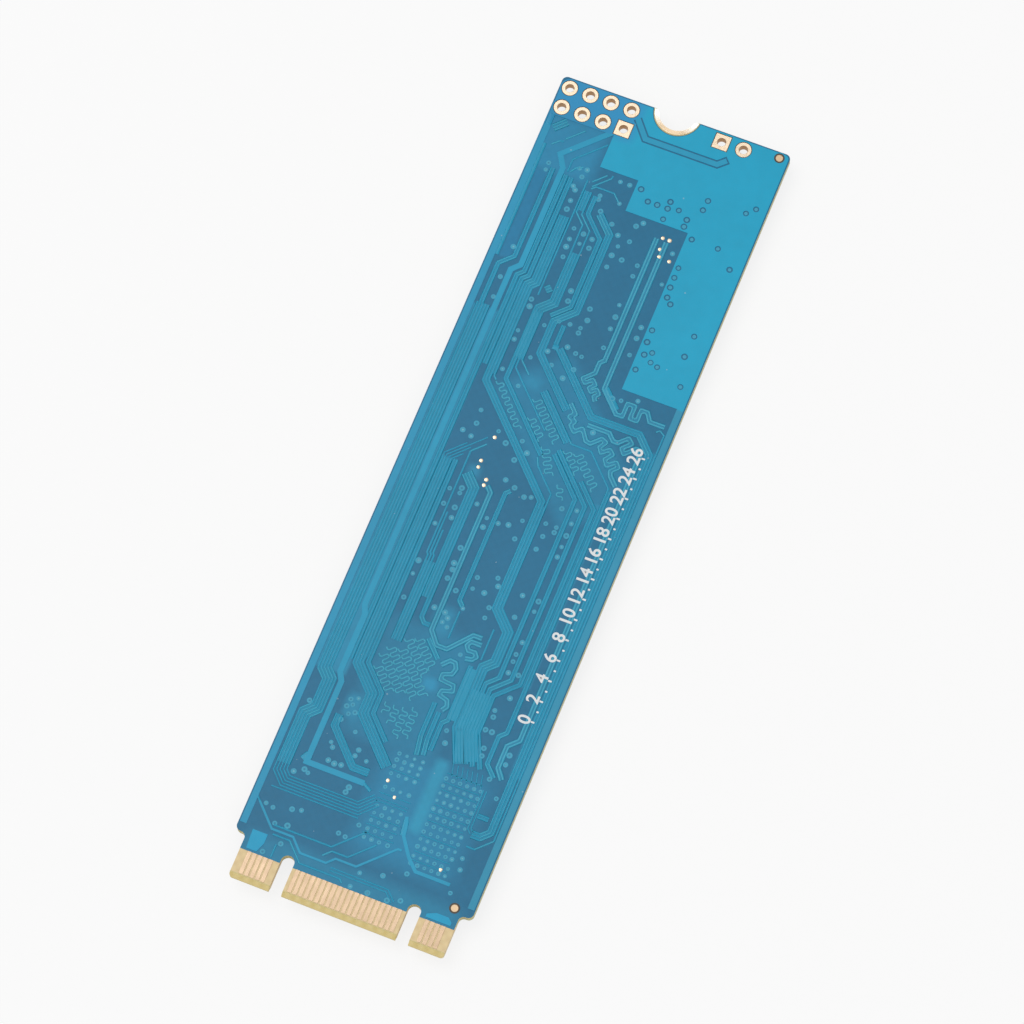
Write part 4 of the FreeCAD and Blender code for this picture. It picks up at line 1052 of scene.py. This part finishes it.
def hole_sleeve():
    """Lining of a hole between its two lands, its darker gold a painted shade on the hole's wall."""
    inner, outer = hole_radius - sleeve_thickness, hole_radius + sleeve_thickness
    low, high = chip_face_z, bare_face_z
    profile = [(inner, low, 0.0), (outer, low, 0.0), (outer, high, 0.0), (inner, high, 0.0)]
    return turned_mesh("sleeve", profile, hole_segments, closed=True)


def plated_holes(round_places, square_place):
    """Mesh of round plated holes and the one with a square land."""
    round_shape = turned_mesh("round_hole", plated_hole_profile(0.0), hole_segments, closed=True)
    square_shape = turned_mesh("square_hole", plated_hole_profile(1.0), hole_segments, closed=True)
    return joined([copies_mesh(round_shape, round_places, 0.0, bare_gold),
                   copies_mesh(square_shape, [square_place], 0.0, bare_gold),
                   copies_mesh(hole_sleeve(), round_places + [square_place], 0.0, barrel_in_painted_shade)])


def make_plated_holes():
    """Header holes, the last with a square land, and jumper holes, the first with one."""
    header = plated_holes(header_places[:-1], header_places[-1])
    add_piece("header_holes", header, "gold", "header_hole_plating")
    jumper = plated_holes(jumper_places[1:], jumper_places[0])
    add_piece("jumper_holes", jumper, "gold", "jumper_hole_plating")


def rings_at(places, profile, material):
    """Rings of one section on several places of the bare face."""
    ring = turned_mesh("ring", profile, hole_segments, closed=True)
    return copies_mesh(ring, places, bare_face_z, material)


def gap_profile(inner, outer, square):
    """Thin ring of bare laminate between a land and the edge of the coating, coloured dark as painted shade.
    """
    return [(inner, -gap_sink, square), (outer, -gap_sink, square), (outer - gap_rise, gap_rise, square),
            (inner, gap_rise, square)]


def make_land_gaps():
    """Edge of bare laminate around every land and dot, darkened with painted shade."""
    inner = land_radius - land_round
    dot_inner = sighting_radius - land_round
    add_piece("land_gaps", joined([
        rings_at(round_land_places, gap_profile(inner, land_gap_radius, 0.0), laminate_in_painted_shade),
        rings_at(square_land_places, gap_profile(inner, land_gap_radius, 1.0), laminate_in_painted_shade),
        rings_at(sighting_places, gap_profile(dot_inner, sighting_gap_radius, 0.0), laminate_in_painted_shade),
    ]), "laminate")


def collar_profile(inner, outer, square):
    """Flat ring of coated copper that ends just under the top of the ground field."""
    return [(inner, 0.0, square), (outer, 0.0, square), (outer, collar_rise, square),
            (inner, collar_rise, square)]


def make_land_collars():
    """Collars that shape the openings of the ground field around its lands and its sighting dot."""
    dot_profile = collar_profile(sighting_gap_radius, sighting_collar_radius, 0.0)
    add_piece("land_collars", joined([
        rings_at(round_land_places, collar_profile(land_gap_radius, collar_radius, 0.0), copper_coat),
        rings_at(square_land_places, collar_profile(land_gap_radius, collar_radius, 1.0), copper_coat),
        rings_at(sighting_places[:1], dot_profile, copper_coat),
    ]), "coated_pour")


def make_sighting_dots():
    """Two bare gold dots with rounded edges."""
    low, high = board_top_z, bare_face_z + land_rise / 2
    profile = [(sighting_radius, low, 0.0), (sighting_radius, high - land_round, 0.0),
               (sighting_radius - land_round, high, 0.0)]
    dot = turned_mesh("dot", profile, hole_segments)
    add_piece("round_sights", copies_mesh(dot, sighting_places, 0.0, dull_gold), "gold", "sighting_dots")


def make_test_dots():
    """Small bare gold dots for test probes, slightly domed."""
    profile = [(test_dot_radius * share, height, 0.0) for share, height in test_dot_steps]
    dot = turned_mesh("dot", profile, via_sides)
    mesh = copies_mesh(dot, test_dot_places, bare_face_z, bare_gold, test_dot_size_change, seed=5)
    add_piece("test_dots", mesh, "gold")


# Vias

def ring_profile(outer, inner, height):
    """Raised ring around a shallow dish."""
    return [(outer, 0.0, 0.0), (outer * ring_crest_share, height, 0.0),
            (inner * dish_rim_share, height, 0.0), (inner, height * dish_floor_share, 0.0)]


def coated_rings(places, ring_radius, bore_radius, seed):
    """Rings and the plugs in them, on many places."""
    ring = turned_mesh("ring", ring_profile(ring_radius, bore_radius, track_height), via_sides)
    plug_steps = [(1.0, 0.0), (plug_top_share, plug_height_share)]
    plug = turned_mesh("plug", round_profile(bore_radius, track_height, plug_steps), via_sides)
    return [copies_mesh(ring, places, bare_face_z, via_rim_coat, via_size_change, seed),
            copies_mesh(plug, places, bare_face_z, via_coat, via_size_change, seed)]


def make_vias():
    """Small coated rings around filled holes: scattered ones, and finer ones under the controller."""
    scattered = coated_rings(via_places, via_ring_radius, via_hole_radius, seed=2)
    add_piece("coated_vias", joined(scattered), "coated_track")
    fine = coated_rings(fine_via_places, fine_via_radius, fine_via_hole_radius, seed=7)
    add_piece("controller_vias", joined(fine), "coated_track")


def ground_with_wells():
    """Copy of the ground copper with a well cut around every via, and a channel past the guard's end."""
    bottom, top = bare_face_z - well_reach, bare_face_z + well_reach
    well_profile = [(pour_via_radius, bottom, 0.0), (pour_via_radius, top, 0.0)]
    well = turned_mesh("well", well_profile, via_sides)
    wells = copies_mesh(well, pour_via_places, 0.0, copper_coat, well_size_change, seed=3)
    channel = strips([guard_channel], guard_channel_width, copper_coat, face_z=bottom, height=top - bottom)
    cutter = show("cutter", merged([wells, channel], copper_coat))
    copy = node_copy("coated_ground_copper")
    mesh = bpy.data.meshes.new("ground")
    copy.to_mesh(mesh)
    copy.free()
    ground = show("ground", mesh)
    ground.data.materials.append(copper_coat)
    cut = ground.modifiers.new("cut", "BOOLEAN")
    cut.operation = "DIFFERENCE"
    cut.object = cutter
    cut.solver = "EXACT"
    result = final_mesh(ground)
    bpy.data.objects.remove(cutter)
    return result


def make_ground_field():
    """Ground copper with its vias, each an island in a well."""
    add_piece("ground_field", ground_with_wells(), "coated_pour", "coated_ground_copper")
    island_profile = ring_profile(pour_via_hole_radius, island_hole_radius, track_height)
    island = turned_mesh("island", island_profile, via_sides)
    mesh = copies_mesh(island, pour_via_places, bare_face_z, via_rim_coat, island_size_change, seed=4)
    add_piece("ground_via_islands", mesh, "coated_track")


# Tracks

def moved_aside(route, offset):
    """Route moved to its left by an offset, with mitred corners."""
    sides = []
    for (x0, y0), (x1, y1) in zip(route, route[1:]):
        length = math.hypot(x1 - x0, y1 - y0)
        sides.append(((y0 - y1) / length, (x1 - x0) / length))
    moved = []
    for (x, y), (ax, ay), (bx, by) in zip(route, sides[:1] + sides, sides + sides[-1:]):
        scale = offset / (1.0 + ax * bx + ay * by)
        moved.append((x + (ax + bx) * scale, y + (ay + by) * scale))
    return moved


def bundle(count, route):
    """Parallel routes either side of a middle one."""
    return [moved_aside(route, (index - (count - 1) / 2) * bundle_pitch) for index in range(count)]


def swinging_route(reach, start, end):
    """Route that swings from side to side on its way, to gain length."""
    run = math.dist(start, end)
    forward_x, forward_y = (end[0] - start[0]) / run, (end[1] - start[1]) / run
    route = []
    for turn in range(int(run / matched_step)):
        side = reach if turn % 2 else -reach
        for distance in (turn * matched_step, (turn + 1) * matched_step):
            route.append((start[0] + forward_x * distance - forward_y * side,
                          start[1] + forward_y * distance + forward_x * side))
    return route


def strips(routes, width, material, bend_radius=0.0, face_z=bare_face_z, up=1, height=track_height):
    """Mesh of strips that stand up from a face of the board, or hang down from it."""
    crest, foot = width * strip_crest_share * mm, width * mm
    values = {
        "Upper Width": crest if up > 0 else foot,
        "Lower Width": foot if up > 0 else crest,
        "Height": height * mm,
        "Bend Radius": bend_radius * mm,
        "Material": material,
    }
    return grow(lines_mesh(routes, face_z + up * height / 2), track_strip, values)


def bundle_routes(bundles):
    """Routes of all tracks in several bundles."""
    routes = []
    for count, middle in bundles:
        routes += bundle(count, middle)
    return routes


def slanting_stretches(routes):
    """Short stretches that slant across the board, where tracks step aside."""
    stretches = []
    for route in routes:
        for (x0, y0), (x1, y1) in zip(route, route[1:]):
            slants = min(abs(x1 - x0), abs(y1 - y0)) > track_width
            if slants and math.hypot(x1 - x0, y1 - y0) < longest_glint:
                stretches.append([(x0, y0), (x1, y1)])
    return stretches


def make_signal_tracks():
    """Parallel tracks of the bare side, and thinner ones. Short slanting stretches carry a lighter strip on
    top, a painted highlight.
    """
    routes = bundle_routes(signal_bundles)
    mesh = strips(routes, track_width, track_coat, track_bend_radius)
    add_piece("signal_tracks", mesh, "coated_track", "coated_bus_tracks")
    glints = slanting_stretches(routes)
    mesh = strips(glints, glint_width, painted_highlight_coat, height=glint_height)
    add_piece("slanting_crests", mesh, "coated_track")
    mesh = strips(bundle_routes(thin_bundles), thin_width, track_coat, track_bend_radius)
    add_piece("thin_tracks", mesh, "coated_track")
    mesh = strips(fine_routes, fine_width, track_coat)
    add_piece("fine_tracks", mesh, "coated_track")


def make_copper_patches():
    """Wider patches of copper, and the bridge from the left edge strip to the far field."""
    patches = [strips([route], width, track_coat, height=patch_height) for width, route in copper_patches]
    add_piece("copper_patches", merged(patches, track_coat), "coated_track")
    width, route = edge_bridge
    bridge = strips([route], width, copper_coat, height=patch_height)
    add_piece("edge_bridge", bridge, "coated_pour")


def stepped_films(films, first_height, material):
    """Thin films of coating, each with its width and route and a trace higher than the one before."""
    meshes = []
    for number, (width, route) in enumerate(films):
        height = first_height + number * bed_step
        meshes.append(strips([route], width, material, height=height))
    return meshes


def make_track_beds():
    """Thin films of coating between close tracks and pairs, and thicker ones that hide single tracks."""
    films = []
    for count in sorted({count for count, middle in signal_bundles if count > 1}):
        middles = [middle for other, middle in signal_bundles if other == count]
        width = count * bundle_pitch - bed_gap
        films.append(strips(middles, width, bed_coat, height=bed_height))
    add_piece("track_beds", merged(films, bed_coat), "coated_track")
    films = stepped_films([(loop_bed_width, route) for route in loop_pairs], bed_height + bed_step, pair_coat)
    add_piece("pair_beds", merged(films, pair_coat), "coated_track")
    fills = stepped_films(solid_fills, track_height / 2 + bed_height, track_coat)
    add_piece("solid_fills", merged(fills, track_coat), "coated_track")


def make_matched_tracks():
    """Tracks that swing from side to side, and paired tracks with long loops, both in a lighter coating that
    is a painted highlight.
    """
    routes = [swinging_route(reach, start, end) for reach, start, end in matched_runs]
    mesh = strips(routes, swing_width, painted_highlight_coat, matched_bend_radius)
    add_piece("swinging_tracks", mesh, "coated_track", "coated_matched_tracks")
    loops = bundle_routes([(2, middle) for middle in loop_pairs])
    mesh = strips(loops, loop_width, painted_highlight_coat, loop_bend_radius)
    add_piece("looped_pairs", mesh, "coated_track")


# Printed length scale

def text_mesh(words, height):
    """Flat figures as a thin slab, standing on the origin."""
    curve = bpy.data.curves.new("figures", "FONT")
    curve.body = words
    curve.size = height * mm
    curve.align_x = "CENTER"
    curve.extrude = print_thickness * mm / 2
    curve.offset = scale_figure_weight * mm
    curve.resolution_u = 4
    return final_mesh(show("figures", curve))


def bar_mesh(low, high):
    """Slab between two corners on the board."""
    (x0, y0), (x1, y1) = low, high
    bottom, top = bare_face_z, bare_face_z + print_thickness
    corners = [(x0, y0), (x1, y0), (x1, y1), (x0, y1)]
    mesh = bpy.data.meshes.new("bar")
    faces = [(3, 2, 1, 0), (4, 5, 6, 7), (0, 1, 5, 4), (1, 2, 6, 5), (2, 3, 7, 6), (3, 0, 4, 7)]
    mesh.from_pydata(to_metres(corners, bottom) + to_metres(corners, top), [], faces)
    return mesh


def make_printed_scale():
    """White length scale along the right edge: a line for each millimetre, a figure for every second."""
    meshes = []
    half_line = scale_line_width / 2
    figure_x = scale_x - scale_long_line - scale_figure_gap
    figure_z = bare_face_z + print_thickness / 2
    turn = Matrix.Rotation(math.pi / 2, 4, "Z")
    for step in range(scale_length + 1):
        y = scale_start_y + step
        has_figure = step % scale_figure_step == 0
        reach = scale_long_line if has_figure else scale_short_line
        meshes.append(bar_mesh((scale_x - reach, y - half_line), (scale_x, y + half_line)))
        if has_figure:
            figures = text_mesh(str(step), scale_figure_height)
            place = Vector((figure_x, y, figure_z)) * mm
            figures.transform(Matrix.Translation(place) @ turn)
            meshes.append(figures)
    add_piece("printed_scale", merged(meshes, white_print), "white_print")


# Chip side

def solid_boxes(node):
    """Lowest and highest corner of each separate solid of a node, in metres."""
    copy = node_copy(node)
    boxes = []
    waiting = set(copy.verts)
    while waiting:
        reached = [waiting.pop()]
        for vertex in reached:
            for edge in vertex.link_edges:
                other = edge.other_vert(vertex)
                if other in waiting:
                    waiting.discard(other)
                    reached.append(other)
        low = tuple(min(vertex.co[axis] for vertex in reached) for axis in range(3))
        high = tuple(max(vertex.co[axis] for vertex in reached) for axis in range(3))
        boxes.append((low, high))
    copy.free()
    return sorted(boxes)


def make_solder_fillets():
    """Solder that runs from the lands up the sides of end caps and terminals."""
    points = []
    faces = []
    face = chip_face_z * mm
    for node in soldered_nodes:
        for low, high in solid_boxes(node):
            depth = min(face - low[2], fillet_height * mm)
            for spread, z in ((fillet_spread * mm, face), (fillet_lap * mm, face - depth)):
                points += [(low[0] - spread, low[1] - spread, z), (high[0] + spread, low[1] - spread, z),
                           (high[0] + spread, high[1] + spread, z), (low[0] - spread, high[1] + spread, z)]
            first = len(points) - 8
            faces.append(tuple(first + corner for corner in (0, 1, 2, 3)))
            faces.append(tuple(first + corner for corner in (7, 6, 5, 4)))
            for corner in range(4):
                beside = (corner + 1) % 4
                faces.append((first + beside, first + corner, first + 4 + corner, first + 4 + beside))
    mesh = bpy.data.meshes.new("fillets")
    mesh.from_pydata(points, [], faces)
    mesh.materials.append(solder)
    add_piece("solder_fillets", mesh, "solder")


def ball_places(node):
    """Two rows of balls round the edge of a package."""
    low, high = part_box(node)
    columns = int((high[0] - low[0]) / mm / ball_pitch)
    rows = int((high[1] - low[1]) / mm / ball_pitch)
    middle_x = (low[0] + high[0]) / 2 / mm
    middle_y = (low[1] + high[1]) / 2 / mm
    places = []
    for column in range(columns):
        for row in range(rows):
            if min(column, columns - 1 - column, row, rows - 1 - row) < ball_rows:
                places.append((middle_x + (column - (columns - 1) / 2) * ball_pitch,
                               middle_y + (row - (rows - 1) / 2) * ball_pitch))
    return places


def make_solder_balls():
    """Flattened balls between the packages and the board."""
    profile = round_profile(ball_radius, ball_height, ball_steps)
    ball = turned_mesh("ball", profile, ball_sides)
    places = []
    for node in ball_packages:
        places += ball_places(node)
    mesh = copies_mesh(ball, places, chip_face_z - ball_height, solder)
    add_piece("solder_balls", mesh, "solder", "support_solder_balls")


def make_chip_side_tracks():
    """Tracks and vias between the packages."""
    routes = bundle_routes(chip_side_bundles)
    mesh = strips(routes, track_width, track_coat, track_bend_radius, chip_face_z, up=-1)
    add_piece("chip_side_tracks", mesh, "coated_track")
    profile = ring_profile(via_ring_radius, via_hole_radius, track_height)
    hanging = [(radius, -height, square) for radius, height, square in profile[::-1]]
    ring = turned_mesh("ring", hanging, via_sides)
    mesh = copies_mesh(ring, chip_side_via_places, chip_face_z, via_rim_coat,
                       chip_side_via_size_change, seed=6)
    add_piece("chip_side_vias", mesh, "coated_track")


def make_chip_side_print():
    """White corner marks round each package."""
    routes = []
    for node in outlined_packages:
        low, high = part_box(node)
        left, right = low[0] / mm - outline_gap, high[0] / mm + outline_gap
        near, far = low[1] / mm - outline_gap, high[1] / mm + outline_gap
        for x, inward in ((left, 1), (right, -1)):
            for y, onward in ((near, 1), (far, -1)):
                routes.append([(x + inward * outline_leg, y), (x, y), (x, y + onward * outline_leg)])
    mesh = strips(routes, outline_width, white_print, face_z=chip_face_z, up=-1)
    add_piece("chip_side_outlines", mesh, "white_print")


make_plated_holes()
make_land_gaps()
make_land_collars()
make_sighting_dots()
make_test_dots()
make_vias()
make_ground_field()
make_signal_tracks()
make_copper_patches()
make_track_beds()
make_matched_tracks()
make_printed_scale()
make_solder_fillets()
make_solder_balls()
make_chip_side_tracks()
make_chip_side_print()


# Floor, light and camera

def floor_material():
    """Pale paper that the camera sees as nearly white, with the shadow kept."""
    material, tree, shader, place = new_material("pale_floor")
    fibre = noise(tree, place, 900.0, 3.0, 0.6)
    base = mix_colour(tree, fibre, (0.86, 0.86, 0.86), (0.90, 0.90, 0.90))
    fill_inputs(tree, shader, {"Base Color": base, "Roughness": 0.9})
    glow = add_node(tree, "ShaderNodeEmission", {"Color": (1.0, 1.0, 1.0), "Strength": 1.0})
    rays = tree.nodes.new("ShaderNodeLightPath").outputs
    passed_on = calculate(tree, "MAXIMUM", rays["Is Glossy Ray"], rays["Is Transmission Ray"])
    seen = calculate(tree, "MAXIMUM", rays["Is Camera Ray"], passed_on)
    share = calculate(tree, "MULTIPLY", seen, floor_glow)
    blend = add_node(tree, "ShaderNodeMixShader", {0: share, 1: shader.outputs[0], 2: glow.outputs[0]})
    tree.links.new(blend.outputs[0], tree.nodes["Material Output"].inputs["Surface"])
    return material


def make_floor():
    """Wide floor under the drive."""
    mesh = bpy.data.meshes.new("floor")
    corners = [(-floor_half, -floor_half, 0.0), (floor_half, -floor_half, 0.0),
               (floor_half, floor_half, 0.0), (-floor_half, floor_half, 0.0)]
    mesh.from_pydata(corners, [], [(0, 1, 2, 3)])
    mesh.materials.append(floor_material())
    floor = show("floor", mesh)


def make_world():
    """Even pale surroundings."""
    world = bpy.data.worlds.new("pale_surroundings")
    world.use_nodes = True
    tree = world.node_tree
    fill_inputs(tree, tree.nodes["Background"], {"Color": (1.0, 1.0, 1.0), "Strength": surroundings_strength})
    bpy.context.scene.world = world


def add_soft_lamp(name, place, size, power):
    """Square soft lamp that faces the drive."""
    light = bpy.data.lights.new(name, "AREA")
    light.shape = "SQUARE"
    light.size = size
    light.energy = power
    lamp = show(name, light)
    lamp.location = place
    lamp.rotation_euler = (-Vector(place)).to_track_quat("-Z", "Y").to_euler()


def make_camera():
    """Camera at the photograph's angle."""
    data = bpy.data.cameras.new("photo_camera")
    data.lens = camera_lens
    data.sensor_width = camera_sensor
    data.clip_start = camera_clip
    camera = show("photo_camera", data)
    back = camera_right.cross(camera_up)
    turn = Matrix((camera_right, camera_up, back)).transposed().to_4x4()
    camera.matrix_world = Matrix.Translation(camera_place) @ turn
    bpy.context.scene.camera = camera


make_floor()
make_world()
for name, place, size, power in soft_lamps:
    add_soft_lamp(name, place, size, power)
make_camera()
bpy.context.scene.view_settings.view_transform = "Standard"
